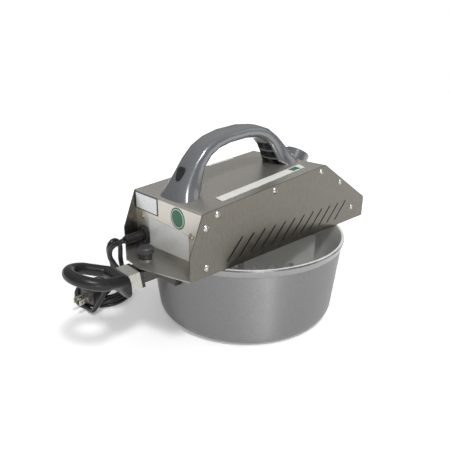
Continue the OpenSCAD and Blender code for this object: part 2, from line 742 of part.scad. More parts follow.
module clamp_knob() {
    r = clamp_knob_d / 2;
    cap = clamp_knob_h * knob_cap_share;
    color([0.13, 0.13, 0.14]) at_clamp(knob_z) difference() {
        rotate_extrude($fn = round_fn) polygon([[clamp_r + fit, 0], [knob_neck_r, 0], [knob_neck_r, clamp_knob_h - cap - knob_chamfer],
            [r, clamp_knob_h - cap], [r, clamp_knob_h - knob_chamfer], [r - knob_chamfer, clamp_knob_h],
            [0, clamp_knob_h], [0, clamp_knob_h - cap / 2], [clamp_r + fit, clamp_knob_h - cap / 2]]);
        for (i = [0:knob_flutes - 1]) rotate(360 * i / knob_flutes) translate([r + flute_r / 2, 0, clamp_knob_h - cap - cut])
            cylinder(h = cap + cut * 2, r = flute_r, $fn = small_fn);
    }
}

module clamp_stud() {
    color([0.78, 0.78, 0.76]) at_clamp(floor_z - stud_down)
        cylinder(h = knob_z - floor_z + stud_down + clamp_knob_h * (1 - knob_cap_share / 2) - 0.1, r = clamp_r, $fn = small_fn);
}

// Gear case with the worm crossing beside the wheel
wheel_room = gap * 2;
bearing_shoulder = 2;
low_bearing_z = deck_z + 10;
bolt_flange_t = 4;
motor_x = case_x + bolt_flange_t;
lid_bolt_r = 1.6;
lid_bolt_in = 5;
lid_bolt_l = 16;

module lid_bolt_places() {
    for (x = [-1, 1]) for (y = [case_right_y + lid_bolt_in, case_left_y - lid_bolt_in])
        translate([x * (case_x - lid_bolt_in), y, 0]) children();
}

module on_worm(x) { translate([x, -axis_gap, worm_z]) rotate([0, 90, 0]) children(); }

module motor_bolt_places() {
    for (a = [45:90:315]) rotate(a) translate([motor_bolt_r, 0, 0]) children();
}

motor_skin = 1.5;
motor_bolt_r = motor_d / 2 - 4.2;
motor_pin_r = 1.6;

module gear_case() {
    color([0.6, 0.6, 0.62]) difference() {
        union() {
            translate([-case_x, case_right_y, deck_z])
                cube([case_x * 2, case_left_y - case_right_y, case_lid_z - deck_z]);
            on_worm(-motor_x) cylinder(h = bolt_flange_t, r = motor_d / 2, $fn = fine_fn);
            translate([0, 0, floor_z - spigot_h]) cylinder(h = spigot_h + sheet_t, r = spigot_r, $fn = fine_fn);
        }
        translate([0, 0, worm_z - wheel_w / 2 - gap * 2])
            cylinder(h = case_lid_z, r = wheel_tip_r + wheel_room, $fn = fine_fn);
        on_worm(-case_x - bolt_flange_t - cut)
            cylinder(h = case_x * 2 + bolt_flange_t + cut * 2, r = rotor_shaft_r + gap * 2, $fn = round_fn);
        on_worm(-case_x + small_bearing_w + bearing_shoulder)
            cylinder(h = (case_x - small_bearing_w - bearing_shoulder) * 2, r = worm_tip_r + wheel_room, $fn = round_fn);
        on_worm(-motor_x - cut) cylinder(h = small_bearing_w + bolt_flange_t + cut, r = small_bearing_r + fit, $fn = round_fn);
        on_worm(case_x - small_bearing_w) cylinder(h = small_bearing_w + cut, r = small_bearing_r + fit, $fn = round_fn);
        translate([0, 0, low_bearing_z]) cylinder(h = worm_h, r = bearing_r + fit, $fn = round_fn);
        translate([0, 0, 0]) cylinder(h = worm_z, r = shaft_r + gap, $fn = round_fn);
        translate([0, 0, floor_z - spigot_h - cut]) cylinder(h = seal_h + cut, r = seal_r + fit, $fn = round_fn);
        translate([0, 0, case_lid_z]) lid_bolt_places()
            cylinder(h = lid_bolt_l * 2, r = lid_bolt_r + fit, center = true, $fn = small_fn);
        translate([0, 0, deck_z]) case_foot_places()
            cylinder(h = lid_bolt_l, r = screw_r + fit, center = true, $fn = small_fn);
        on_worm(-motor_x) motor_bolt_places() cylinder(h = lid_bolt_l, r = motor_pin_r + fit, center = true, $fn = small_fn);
    }
}

seal_h = 7;
seal_r = 12;

module gear_case_lid() {
    color([0.6, 0.6, 0.62]) difference() {
        translate([-case_x, case_right_y, case_lid_z]) cube([case_x * 2, case_left_y - case_right_y, lid_t]);
        translate([0, 0, case_lid_z - cut]) cylinder(h = bearing_w + cut, r = bearing_r + fit, $fn = round_fn);
        translate([0, 0, case_lid_z]) cylinder(h = lid_t + cut, r = shaft_r + gap, $fn = round_fn);
        on_worm(-motor_x) motor_bolt_places() cylinder(h = lid_bolt_l, r = motor_pin_r + fit, center = true, $fn = small_fn);
        translate([0, 0, case_lid_z]) lid_bolt_places()
            cylinder(h = lid_bolt_l * 2, r = lid_bolt_r + fit, center = true, $fn = small_fn);
    }
}

// Cheese-head bolt whose head stands on z = 0
module cheese_bolt(r, l) {
    translate([0, 0, -l]) cylinder(h = l, r = r, $fn = small_fn);
    difference() {
        cylinder(h = r * 1.6, r = r * 1.9, $fn = small_fn);
        translate([-r * 2, -r * 0.3, r * 0.9]) cube([r * 4, r * 0.6, r]);
    }
}

module lid_screws() {
    color([0.75, 0.75, 0.73]) {
        translate([0, 0, case_lid_z + lid_t]) lid_bolt_places() cheese_bolt(lid_bolt_r, lid_bolt_l - 1 + lid_t * 0.4);
        translate([0, 0, floor_z]) case_foot_places() mirror([0, 0, 1]) cheese_bolt(screw_r, sheet_t + 6);
    }
}

// Shielded ball bearing of outer radius ro and bore ri, standing on z = 0
module bearing(ro, ri, w) {
    step = 0.5;
    race = (ro - ri) * 0.25;
    rotate_extrude($fn = round_fn) polygon([[ri, 0], [ri + race, 0], [ri + race, step], [ro - race, step], [ro - race, 0],
        [ro, 0], [ro, w], [ro - race, w], [ro - race, w - step], [ri + race, w - step], [ri + race, w], [ri, w]]);
}

module shaft_bearings() {
    color([0.8, 0.8, 0.8]) {
        translate([0, 0, low_bearing_z]) bearing(bearing_r, shaft_r + fit, bearing_w);
        translate([0, 0, case_lid_z]) bearing(bearing_r, shaft_r + fit, bearing_w);
    }
}

module worm_bearings() {
    color([0.8, 0.8, 0.8]) {
        on_worm(-case_x) bearing(small_bearing_r, rotor_shaft_r + fit, small_bearing_w);
        on_worm(case_x - small_bearing_w) bearing(small_bearing_r, rotor_shaft_r + fit, small_bearing_w);
    }
}

module shaft_seal() {
    lip = 1;
    color([0.1, 0.1, 0.1]) translate([0, 0, floor_z - spigot_h]) rotate_extrude($fn = round_fn)
        polygon([[shaft_r + fit, 0], [shaft_r + fit + lip, 0], [seal_r - lip * 2, lip * 2], [seal_r - lip, 0], [seal_r, 0],
            [seal_r, seal_h - fit], [shaft_r + lip * 2, seal_h - fit], [shaft_r + lip * 2, lip * 3], [shaft_r + fit, lip * 2]]);
}

// Shaft, worm wheel, and the worm on the motor's shaft
shaft_low_z = 24;
shaft_top_z = case_lid_z + lid_t - 1;
key_w = 4;
key_deep = 2;
tooth_slack = 0.34;
tooth_lean = tan(20);
worm_turns = 6;
worm_steps = 12;
worm_fn = 18;
pin_z = 60;
pin_r = 2;

module key_space(grow) {
    translate([shaft_r - key_deep, -key_w / 2 - grow, worm_z - wheel_w / 2 - grow])
        cube([key_deep * 2 + grow, key_w + grow * 2, wheel_w + grow * 2]);
}

module drive_shaft() {
    color([0.8, 0.8, 0.8]) difference() {
        translate([0, 0, shaft_low_z]) cylinder(h = shaft_top_z - shaft_low_z, r = shaft_r, $fn = round_fn);
        key_space(fit);
        agitator_pin_line(pin_r + fit, hub_d * 2);
    }
}

module wheel_key() { color([0.7, 0.7, 0.7]) key_space(0); }

function tooth_half(dr) = PI * gear_module / 4 - tooth_slack / 4 - dr * tooth_lean;

module wheel_outline() {
    add = wheel_tip_r - wheel_pitch_r;
    ded = wheel_pitch_r - wheel_root_r;
    polygon([for (i = [0:wheel_teeth - 1]) let(mid = 360 * (i + 0.5) / wheel_teeth)
        each [for (e = [[-1, -ded, wheel_root_r], [-1, add, wheel_tip_r], [1, add, wheel_tip_r], [1, -ded, wheel_root_r]])
            let(a = mid + e[0] * tooth_half(e[1]) / wheel_pitch_r * 180 / PI) e[2] * [cos(a), sin(a)]]]);
}

module worm_wheel() {
    twist = wheel_w * tan(lead_angle) / wheel_pitch_r * 180 / PI;
    color([0.78, 0.6, 0.3]) difference() {
        translate([0, 0, worm_z]) rotate(-twist / 2) translate([0, 0, -wheel_w / 2])
            linear_extrude(wheel_w, twist = -twist, slices = 2, convexity = 10) wheel_outline();
        cylinder(h = shaft_top_z, r = shaft_r + fit, $fn = round_fn);
        key_space(fit);
    }
}

// Radius of the worm's cross-section at an angle, so that twisting it draws the thread
function worm_radius(a) = let(d = abs(((a + 540) % 360) - 180) / 360 * worm_lead,
    tip = tooth_half(worm_tip_r - worm_pitch_r), root = tooth_half(worm_root_r - worm_pitch_r))
    d <= tip ? worm_tip_r : d >= root ? worm_root_r : worm_tip_r + (worm_root_r - worm_tip_r) * (d - tip) / (root - tip);

module worm() {
    length = worm_turns * worm_lead;
    color([0.7, 0.7, 0.72]) on_worm(-length / 2) difference() {
        linear_extrude(length, twist = -360 * worm_turns, slices = worm_turns * worm_steps, convexity = 10)
            polygon([for (k = [0:worm_fn - 1]) let(a = 360 * k / worm_fn) worm_radius(a) * [cos(a + 90), sin(a + 90)]]);
        translate([0, 0, -cut]) cylinder(h = length + cut * 2, r = rotor_shaft_r + fit, $fn = round_fn);
    }
}

// Motor behind the gear case
stator_in_r = 15;
core_r = 14.6;
bell_t = 5;
fan_r = 20;
fan_w = 7;
fan_blades = 9;
stator_share = 0.55;
vent_r = 4;
vent_ring_r = 15;
commutator_r = 9;

module motor_case() {
    color([0.35, 0.36, 0.38]) on_worm(-motor_x) mirror([0, 0, 1]) difference() {
        cylinder(h = motor_l, r = motor_d / 2, $fn = fine_fn);
        translate([0, 0, motor_skin]) cylinder(h = motor_l, r = motor_d / 2 - motor_skin, $fn = fine_fn);
        translate([0, 0, -cut]) cylinder(h = motor_l, r = small_bearing_r + gap, $fn = round_fn);
        motor_bolt_places() translate([0, 0, -cut]) cylinder(h = motor_l, r = motor_pin_r + fit, $fn = small_fn);
        for (a = [0:60:300]) rotate(a) translate([0, -vent_r, motor_l * 0.8])
            cube([motor_d, vent_r * 2, vent_r * 1.5]);
    }
}

module motor_stator() {
    color([0.55, 0.35, 0.22]) on_worm(-motor_x - motor_l * (1 - stator_share) / 2) mirror([0, 0, 1]) difference() {
        cylinder(h = motor_l * stator_share, r = motor_d / 2 - motor_skin - fit, $fn = fine_fn);
        translate([0, 0, -cut]) cylinder(h = motor_l, r = stator_in_r, $fn = fine_fn);
        motor_bolt_places() translate([0, 0, -cut]) cylinder(h = motor_l, r = motor_pin_r + gap, $fn = small_fn);
    }
}

module motor_end_bell() {
    color([0.55, 0.55, 0.57]) on_worm(-motor_x - motor_l) mirror([0, 0, 1]) difference() {
        cylinder(h = bell_t, r = motor_d / 2, $fn = fine_fn);
        translate([0, 0, -cut]) cylinder(h = bell_t + cut * 2, r = rotor_shaft_r + fit, $fn = round_fn);
        motor_bolt_places() translate([0, 0, -cut]) cylinder(h = bell_t + cut * 2, r = motor_pin_r + fit, $fn = small_fn);
        for (a = [0:60:300]) rotate(a) translate([vent_ring_r, 0, -cut])
            cylinder(h = bell_t + cut * 2, r = vent_r, $fn = small_fn);
    }
}

module motor_bolts() {
    color([0.75, 0.75, 0.73]) on_worm(-motor_x - motor_l - bell_t) mirror([0, 0, 1]) motor_bolt_places()
        cheese_bolt(motor_pin_r, motor_l + bell_t + lid_bolt_l / 2 - 1);
}

motor_core_z = 0.14;

module motor_rotor() {
    color([0.6, 0.45, 0.3]) {
        on_worm(case_x - 1) mirror([0, 0, 1])
            cylinder(h = case_x - 1 + motor_x + motor_l + bell_t + fan_w + gap, r = rotor_shaft_r, $fn = round_fn);
        on_worm(-motor_x - motor_l * (1 - stator_share) / 2) mirror([0, 0, 1])
            cylinder(h = motor_l * stator_share, r = core_r, $fn = round_fn);
        on_worm(-motor_x - motor_l * (1 - motor_core_z)) mirror([0, 0, 1])
            cylinder(h = motor_l * motor_core_z * 0.8, r = commutator_r, $fn = round_fn);
    }
}

module cooling_fan() {
    disc_t = 1.5;
    blade_w = 1.6;
    color([0.15, 0.15, 0.16]) on_worm(-motor_x - motor_l - bell_t - gap * 3) mirror([0, 0, 1]) difference() {
        union() {
            translate([0, 0, fan_w - disc_t - gap]) cylinder(h = disc_t, r = fan_r, $fn = fine_fn);
            cylinder(h = fan_w - gap, r = rotor_shaft_r + 3, $fn = round_fn);
            intersection() {
                cylinder(h = fan_w - gap, r = fan_r, $fn = fine_fn);
                for (i = [0:fan_blades - 1]) rotate(360 * i / fan_blades) translate([rotor_shaft_r + 1, -blade_w / 2, gap * 2])
                    cube([fan_r, blade_w, fan_w - gap * 3]);
            }
        }
        translate([0, 0, -cut]) cylinder(h = fan_w + cut * 2, r = rotor_shaft_r + fit, $fn = round_fn);
    }
}

// Agitator: a hub on the shaft, and two perforated blades welded to its flats
hub_r = hub_d / 2;
hub_flat = 1.5;
hub_low_z = 12;
hub_top_z = floor_z - spigot_h - 1.5;
blade_back = 4;
blade_low_z = 8;
blade_low_x = 97;
blade_step_z = [15, 26, 38];
hole_row_z = 51;
hole_first_x = 9;
hole_rows = 1;
blade_plane_y = hub_r - hub_flat;

module on_agitator() { rotate(-blade_turn) children(); }

module agitator_pin_line(r, l) {
    on_agitator() translate([0, 0, pin_z]) rotate([0, 90, 0]) cylinder(h = l, r = r, center = true, $fn = small_fn);
}

module agitator_hub() {
    color([0.75, 0.75, 0.74]) difference() {
        translate([0, 0, hub_low_z]) cylinder(h = hub_top_z - hub_low_z, r = hub_r, $fn = round_fn);
        translate([0, 0, shaft_low_z - 1]) cylinder(h = hub_top_z, r = shaft_r + fit, $fn = round_fn);
        on_agitator() for (side = [0, 180]) rotate(side) translate([-hub_d, -hub_d - blade_plane_y, hub_low_z - cut])
            cube([hub_d * 2, hub_d, blade_top_z - hub_low_z + cut]);
        agitator_pin_line(pin_r + fit, hub_d * 2);
    }
}

module blade() {
    translate([0, -blade_plane_y, 0]) rotate([90, 0, 0]) linear_extrude(blade_t) difference() {
        polygon([[-blade_back, blade_low_z], [blade_low_x, blade_low_z], [blade_foot_x, blade_step_z[0]],
            [blade_foot_x, blade_step_z[1]], [blade_x, blade_step_z[2]], [blade_x, blade_top_z], [-blade_back, blade_top_z]]);
        for (x = [hole_first_x:blade_hole_pitch:blade_x - blade_hole_d])
            translate([x, hole_row_z]) circle(r = blade_hole_d / 2, $fn = round_fn);
    }
}

module agitator_blades() { color([0.8, 0.8, 0.79]) on_agitator() for (side = [0, 180]) rotate(side) blade(); }
module agitator_pin() { color([0.7, 0.7, 0.7]) agitator_pin_line(pin_r, hub_d + pin_r * 2); }

// Capacitor, terminal block and their brackets
cap_r = 14;
cap_len = 58;
cap_far_x = 54;
cap_y = 22;
cap_up = 16;
clip_w = 12;
clip_t = 1.5;
clip_reach = 20;
clip_x = cap_far_x + cap_len / 2;

module clip_screw_places() {
    for (y = [-clip_reach, clip_reach]) translate([-clip_x, cap_y + y, 0]) children();
}

module start_capacitor() {
    lug_r = 1.6;
    color([0.75, 0.75, 0.77]) translate([-cap_far_x, cap_y, deck_z + cap_up]) rotate([0, -90, 0]) {
        cylinder(h = cap_len, r = cap_r, $fn = round_fn);
        for (y = [-lug_r * 3, lug_r * 3]) translate([0, y, cap_len]) cylinder(h = lug_r * 3, r = lug_r, $fn = small_fn);
    }
}

module capacitor_clip() {
    color([0.7, 0.7, 0.68]) difference() {
        union() {
            translate([-clip_x - clip_w / 2, cap_y, deck_z + cap_up]) rotate([0, 90, 0])
                cylinder(h = clip_w, r = cap_r + clip_t, $fn = round_fn);
            translate([-clip_x - clip_w / 2, cap_y - clip_reach - head_r, deck_z])
                cube([clip_w, (clip_reach + head_r) * 2, clip_t]);
        }
        translate([-clip_x - clip_w, cap_y, deck_z + cap_up]) rotate([0, 90, 0])
            cylinder(h = clip_w * 2, r = cap_r + fit, $fn = round_fn);
        translate([0, 0, deck_z]) clip_screw_places()
            cylinder(h = clip_t * 4, r = screw_r + fit, center = true, $fn = small_fn);
    }
}

module clip_screws() {
    color([0.75, 0.75, 0.73]) translate([0, 0, deck_z + clip_t]) clip_screw_places() pan_screw(clip_t + sheet_t + 3);
}

strap_h = 12;
strap_y = [-61, 47];
strap_l = 84;
strap_up = 4;
block_l = 30;
block_w = 12;
block_h = 16;
block_ways = 4;

module wiring_bracket() {
    low = floor_z + end_screw_h - strap_h / 2;
    color([0.72, 0.72, 0.7]) difference() {
        union() {
            translate([-near_plate_x + sheet_t, strap_y[0], low]) cube([sheet_t, strap_y[1] - strap_y[0], strap_h]);
            translate([-near_plate_x + sheet_t, strap_y[1] - sheet_t, low]) cube([strap_l, sheet_t, strap_h + strap_up]);
        }
        end_bores(screw_r + fit);
    }
}

module terminal_block() {
    low = floor_z + end_screw_h - strap_h / 2;
    way = block_l / block_ways;
    color([0.85, 0.84, 0.78]) translate([-near_plate_x + sheet_t + strap_l - block_l, strap_y[1] - sheet_t - block_w, low])
        difference() {
            cube([block_l, block_w, block_h]);
            for (i = [0:block_ways - 1]) translate([way * (i + 0.5), block_w / 2, 0]) {
                translate([0, 0, block_h * 0.4]) cylinder(h = block_h, r = way * 0.3, $fn = small_fn);
                translate([0, 0, block_h * 0.25]) rotate([90, 0, 0])
                    cylinder(h = block_w * 2, r = way * 0.22, center = true, $fn = small_fn);
            }
        }
}

// Rotary switch behind the sloped face, its spindle and its knob
switch_w = 32;
switch_deep = 24;
bush_h = 3;
spindle_r = 3;
spindle_deep = 12;
dial_lift = 1;
dial_round = 1.5;
dial_skin = 2.5;
dial_boss_r = 6;
dial_mark_w = 1.2;

module switch_body() {
    color([0.12, 0.12, 0.12]) on_slope() difference() {
        union() {
            translate([-switch_w / 2, -switch_w / 2, -sheet_t - switch_deep]) cube([switch_w, switch_w, switch_deep]);
            translate([0, 0, -sheet_t]) cylinder(h = sheet_t + bush_h, r = bush_r, $fn = round_fn);
        }
        translate([0, 0, -spindle_deep - fit]) cylinder(h = dial_h + spindle_deep, r = spindle_r + fit, $fn = small_fn);
    }
}

module switch_spindle() {
    color([0.7, 0.7, 0.7]) on_slope() translate([0, 0, -spindle_deep])
        cylinder(h = spindle_deep + dial_lift + dial_h * 0.75, r = spindle_r, $fn = small_fn);
}

module switch_knob() {
    r = dial_d / 2;
    color([0.45, 0.45, 0.47]) on_slope() translate([0, 0, dial_lift]) difference() {
        rotate_extrude($fn = fine_fn) polygon([[spindle_r + fit, bush_h], [dial_boss_r, bush_h], [dial_boss_r, dial_h - dial_skin],
            [r - dial_skin, dial_h - dial_skin], [r - dial_skin, 0], [r, 0], [r, dial_h - dial_round],
            [r - dial_round, dial_h], [0, dial_h], [0, dial_h * 0.75 + fit], [spindle_r + fit, dial_h * 0.75 + fit]]);
        translate([r * 0.35, -dial_mark_w / 2, dial_h - dial_mark_w / 2]) cube([r, dial_mark_w, dial_h]);
    }
}

// Mains cord: flange and bend relief on the near plate, lead, coil on the table, tail and plug
cord_r = cord_d / 2;
cord_z = deck_z + cord_h;
flange_t = 4;
nut_t = 5;
nut_r = 9;
boot_r = [6.5, 4.4];
boot_ribs = 7;
boot_cut = 0.7;
boot_x = near_plate_x + flange_t;

module on_cord(x) { translate([-x, cord_y, cord_z]) rotate([0, -90, 0]) children(); }

module cord_flange() {
    color([0.07, 0.07, 0.07]) on_cord(near_plate_x) rotate_extrude($fn = round_fn) polygon([
        [cord_r + fit, -sheet_t - nut_t - cut], [gland_bore_r - fit, -sheet_t - nut_t - cut], [gland_bore_r - fit, 0],
        [gland_d / 2, 0], [gland_d / 2, flange_t * 0.6], [gland_d / 2 - flange_t * 0.4, flange_t], [cord_r + fit, flange_t]]);
}

module cord_nut() {
    color([0.07, 0.07, 0.07]) on_cord(near_plate_x - sheet_t - nut_t) rotate_extrude($fn = round_fn)
        polygon([[gland_bore_r, 0], [nut_r, 0], [nut_r, nut_t], [gland_bore_r, nut_t]]);
}

module cord_boot() {
    step = boot_l / boot_ribs;
    color([0.05, 0.05, 0.05]) on_cord(boot_x) rotate_extrude($fn = small_fn) polygon(concat([[cord_r + gap, 0]],
        [for (i = [0:boot_ribs - 1]) let(r = boot_r[0] + (boot_r[1] - boot_r[0]) * i / boot_ribs) each
            [[r, step * i], [r, step * (i + 0.65)], [r - boot_cut, step * (i + 0.7)], [r - boot_cut, step * (i + 0.95)]]],
        [[boot_r[1], boot_l], [cord_r + gap, boot_l]]));
}

// Points of a smooth curve through a route, n steps between neighbours
function route(p, n) = concat([for (i = [0:len(p) - 2]) let(a = p[max(i - 1, 0)], b = p[i], c = p[i + 1],
    d = p[min(i + 2, len(p) - 1)]) for (k = [0:n - 1]) let(t = k / n)
    (b * 2 + (c - a) * t + (a * 2 - b * 5 + c * 4 - d) * t * t + (b * 3 - a - c * 3 + d) * t * t * t) / 2],
    [p[len(p) - 1]]);
function heading(p, i) = unit(p[min(i + 1, len(p) - 1)] - p[max(i - 1, 0)]);
function square_to(v, d) = unit(v - d * (v * d));
// Side vectors carried along the path without twisting
function sides(p, v0) = [for (i = 0, v = square_to(v0, heading(p, 0)); i < len(p);
    i = i + 1, v = i < len(p) ? square_to(v, heading(p, i)) : v) v];
function tube_rings(p, r, n, v0) = let(s = sides(p, v0)) [for (i = [0:len(p) - 1])
    let(d = heading(p, i), u = s[i], w = cross(d, u)) [for (k = [0:n - 1]) let(a = 360 * k / n)
    p[i] + r * (u * cos(a) + w * sin(a))]];
module tube(p, r, n, v0) { skin(tube_rings(p, r, n, v0), n); }

// Coil: in on the lower layer, up in the half turn where the spiral reverses, out on the upper layer
coil_x = -143;
coil_y = 143.5;
coil_out_r = 40;
coil_pitch = 6.6;
coil_low_z = 3.3;
coil_start_a = 190;
coil_turns = 5.32;
climb_turns = 0.5;
coil_rings = 24;
coil_sides = 6;
layer_turns = (coil_turns - climb_turns) / 2;

function coil_spot(t) = let(c = max(0, min(1, (t - layer_turns) / climb_turns)),
    r = coil_out_r - coil_pitch * (coil_turns / 2 - abs(t - coil_turns / 2)),
    z = coil_low_z + coil_pitch * (1 - cos(180 * c)) / 2, a = coil_start_a - 360 * t)
    [coil_x + r * cos(a), coil_y + r * sin(a), z];
coil_path = let(n = round(coil_turns * coil_rings), p = [for (i = [0:n]) coil_spot(coil_turns * i / n)])
    concat([p[0] - unit(p[1] - p[0]) * cord_d], p, [p[n] + unit(p[n] - p[n - 1]) * cord_d]);

// Least gap between stretches of the coil that are more than half a turn apart
coil_gap = min([for (i = [0:len(coil_path) - 1]) for (j = [i + 12:1:len(coil_path) - 1])
    norm(coil_path[i] - coil_path[j])]) - cord_d;
echo(coil_gap = coil_gap);

coil_last = coil_path[len(coil_path) - 1];
plug_at = [-147, 123.5];
plug_a = 190;
plug_z = 22.6;
plug_stub = 26;
plug_relief_l = 20;

// A place over the coil, by its angle and radius
function over_coil(a, r, z) = [coil_x + r * cos(a), coil_y + r * sin(a), z];
function behind_plug(d) = [plug_at[0] - d * cos(plug_a), plug_at[1] - d * sin(plug_a), plug_z];
coil_way_in = unit(coil_path[1] - coil_path[0]);
coil_way_out = unit(coil_last - coil_path[len(coil_path) - 2]);
tail_points = [coil_last + coil_way_out * gap * 2, coil_last + coil_way_out * cord_d,
    over_coil(52, 40, 12), over_coil(36, 39, 15), over_coil(18, 37, 17.5), over_coil(0, 34, 19.8),
    over_coil(-20, 30.5, 21.6), behind_plug(plug_stub), behind_plug(plug_relief_l),
    behind_plug(plug_relief_l / 2), behind_plug(1)];

// The lead turns down from the bend relief, hangs in one loop beside it and slants down to the coil
lead_points = [[-90, 40, 154], [-98, 40, 153], [-109, 39, 145], [-118, 37, 131], [-122, 36, 126.5], [-125.5, 36, cord_z],
    [-128, 36, cord_z], [-135, 36, cord_z],
    [-150, 36, cord_z], [-157, 36, cord_z], [-164, 36, cord_z], [-169, 39, 122.5], [-173, 44, 119], [-176, 49, 112], [-176, 51, 103],
    [-173, 50.5, 95], [-168, 50, 86], [-162, 52, 79.5], [-157, 58, 77], [-154, 65, 80.5], [-153, 68.5, 88],
    [-152.3, 69, 95], [-152.6, 67.5, 103], [-155.5, 64.5, 111.5], [-162.5, 61.5, 117], [-168.5, 60.5, 115.5],
    [-171, 62, 108.5], [-170, 63.5, 99.5], [-166.5, 66, 88], [-163.5, 72, 73], [-167, 81, 52], [-172.5, 92, 29],
    [-179.5, 102, 10], [-180.5, 112, 4.5], [-180.3, 122, 3.5],
    coil_path[0] - coil_way_in * (gap + cord_r), coil_path[0] - coil_way_in * gap];

module cord_lead() { color([0.04, 0.04, 0.04]) tube(route(lead_points, 2), cord_r, 10, [0, 1, 0]); }
module cord_coil() { color([0.04, 0.04, 0.04]) tube(coil_path, cord_r, coil_sides, [0, 0, 1]); }
module cord_tail() { color([0.04, 0.04, 0.04]) tube(route(tail_points, 2), cord_r, 10, [0, 0, 1]); }

plug_l = 34;
plug_w = 25;
plug_h = 18;
plug_front_t = 5;
pin_gap = 12.7;
pin_t = 1.5;
pin_w = 6.3;
pin_l = 17;
pin_hole_r = 1.6;
pin_root = 6;

// Frame of the plug: x points to the pins' tips
module on_plug() { translate([plug_at[0], plug_at[1], plug_z]) rotate(plug_a) children(); }

module plug_body() {
    color([0.05, 0.05, 0.05]) on_plug() difference() {
        union() {
            hull() {
                translate([plug_l - plug_front_t, -plug_w / 2, -plug_h / 2]) cube([plug_front_t, plug_w, plug_h]);
                rotate([0, 90, 0]) cylinder(h = plug_l * 0.3, r = plug_h / 2 - 1.5, $fn = small_fn);
            }
            translate([-plug_relief_l, 0, 0]) rotate([0, 90, 0])
                cylinder(h = plug_relief_l, r1 = cord_r + 1.4, r2 = cord_r + 3, $fn = small_fn);
        }
        translate([-plug_relief_l - cut, 0, 0]) rotate([0, 90, 0])
            cylinder(h = plug_relief_l + cut + plug_front_t, r = cord_r + gap, $fn = small_fn);
        for (y = [-pin_gap / 2, pin_gap / 2]) translate([plug_l - pin_root - fit, y - pin_t / 2 - fit, -pin_w / 2 - fit])
            cube([pin_root * 2, pin_t + fit * 2, pin_w + fit * 2]);
    }
}

module plug_pins() {
    color([0.8, 0.75, 0.6]) on_plug() for (y = [-pin_gap / 2, pin_gap / 2])
        translate([plug_l - pin_root, y - pin_t / 2, -pin_w / 2]) difference() {
            cube([pin_l + pin_root, pin_t, pin_w]);
            translate([pin_root + pin_l * 0.75, pin_t / 2, pin_w / 2]) rotate([90, 0, 0])
                cylinder(h = pin_w, r = pin_hole_r, center = true, $fn = small_fn);
        }
}

pot();
handle_bracket();
bracket_rivets();
handle_sleeve();
loop_handle();
loop_handle_screw();
right_side_panel();
left_side_panel();
top_cover();
floor_plate();
rim_stops();
stop_rivets();
panel_screws();
end_screws();
carry_handle();
carry_handle_caps();
carry_handle_bolts();
clamp_washer();
clamp_knob();
clamp_stud();
gear_case();
gear_case_lid();
lid_screws();
shaft_bearings();
shaft_seal();
worm_bearings();
drive_shaft();
worm_wheel();
worm();
wheel_key();
motor_case();
motor_end_bell();
motor_stator();
motor_rotor();
motor_bolts();
cooling_fan();
start_capacitor();
capacitor_clip();
clip_screws();
terminal_block();
wiring_bracket();
agitator_hub();
agitator_blades();
agitator_pin();
switch_body();
switch_spindle();
switch_knob();
cord_flange();
cord_boot();
cord_nut();
cord_lead();
cord_coil();
cord_tail();
plug_body();
plug_pins();
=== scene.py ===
import bpy
import bmesh
from math import cos, pi, radians, sin
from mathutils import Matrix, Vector


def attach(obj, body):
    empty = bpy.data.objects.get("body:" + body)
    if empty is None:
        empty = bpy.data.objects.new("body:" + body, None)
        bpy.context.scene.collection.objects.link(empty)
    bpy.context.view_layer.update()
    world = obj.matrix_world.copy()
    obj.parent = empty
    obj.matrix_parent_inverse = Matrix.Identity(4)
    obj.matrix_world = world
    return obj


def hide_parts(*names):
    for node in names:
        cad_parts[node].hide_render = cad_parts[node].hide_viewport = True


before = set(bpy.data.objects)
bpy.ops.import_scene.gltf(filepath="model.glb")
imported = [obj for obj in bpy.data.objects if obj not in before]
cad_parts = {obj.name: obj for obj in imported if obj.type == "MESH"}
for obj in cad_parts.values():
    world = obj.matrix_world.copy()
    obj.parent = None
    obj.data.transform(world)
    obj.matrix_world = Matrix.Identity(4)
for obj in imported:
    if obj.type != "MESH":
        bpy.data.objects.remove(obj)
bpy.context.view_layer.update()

scene = bpy.context.scene

# Lengths in this script are in millimetres where a comment or a list of stops says so, and the
# rest are in metres.
mm_per_m = 1000

# Studio: a seamless white sheet, which glows a little to the camera and in reflections, and more
# so away from the pot, and a pale room that is darker below.
sheet_half = 4
sheet_shade = 0.97
glow_starts, glow_full = 0.3, 0.8
glow_low, glow_high = 0.22, 0.66
room_light = 0.62
room_low_shade = 0.42
room_low_share, room_high_share = 0.25, 0.8


def grey(shade):
    return (shade, shade, shade, 1)


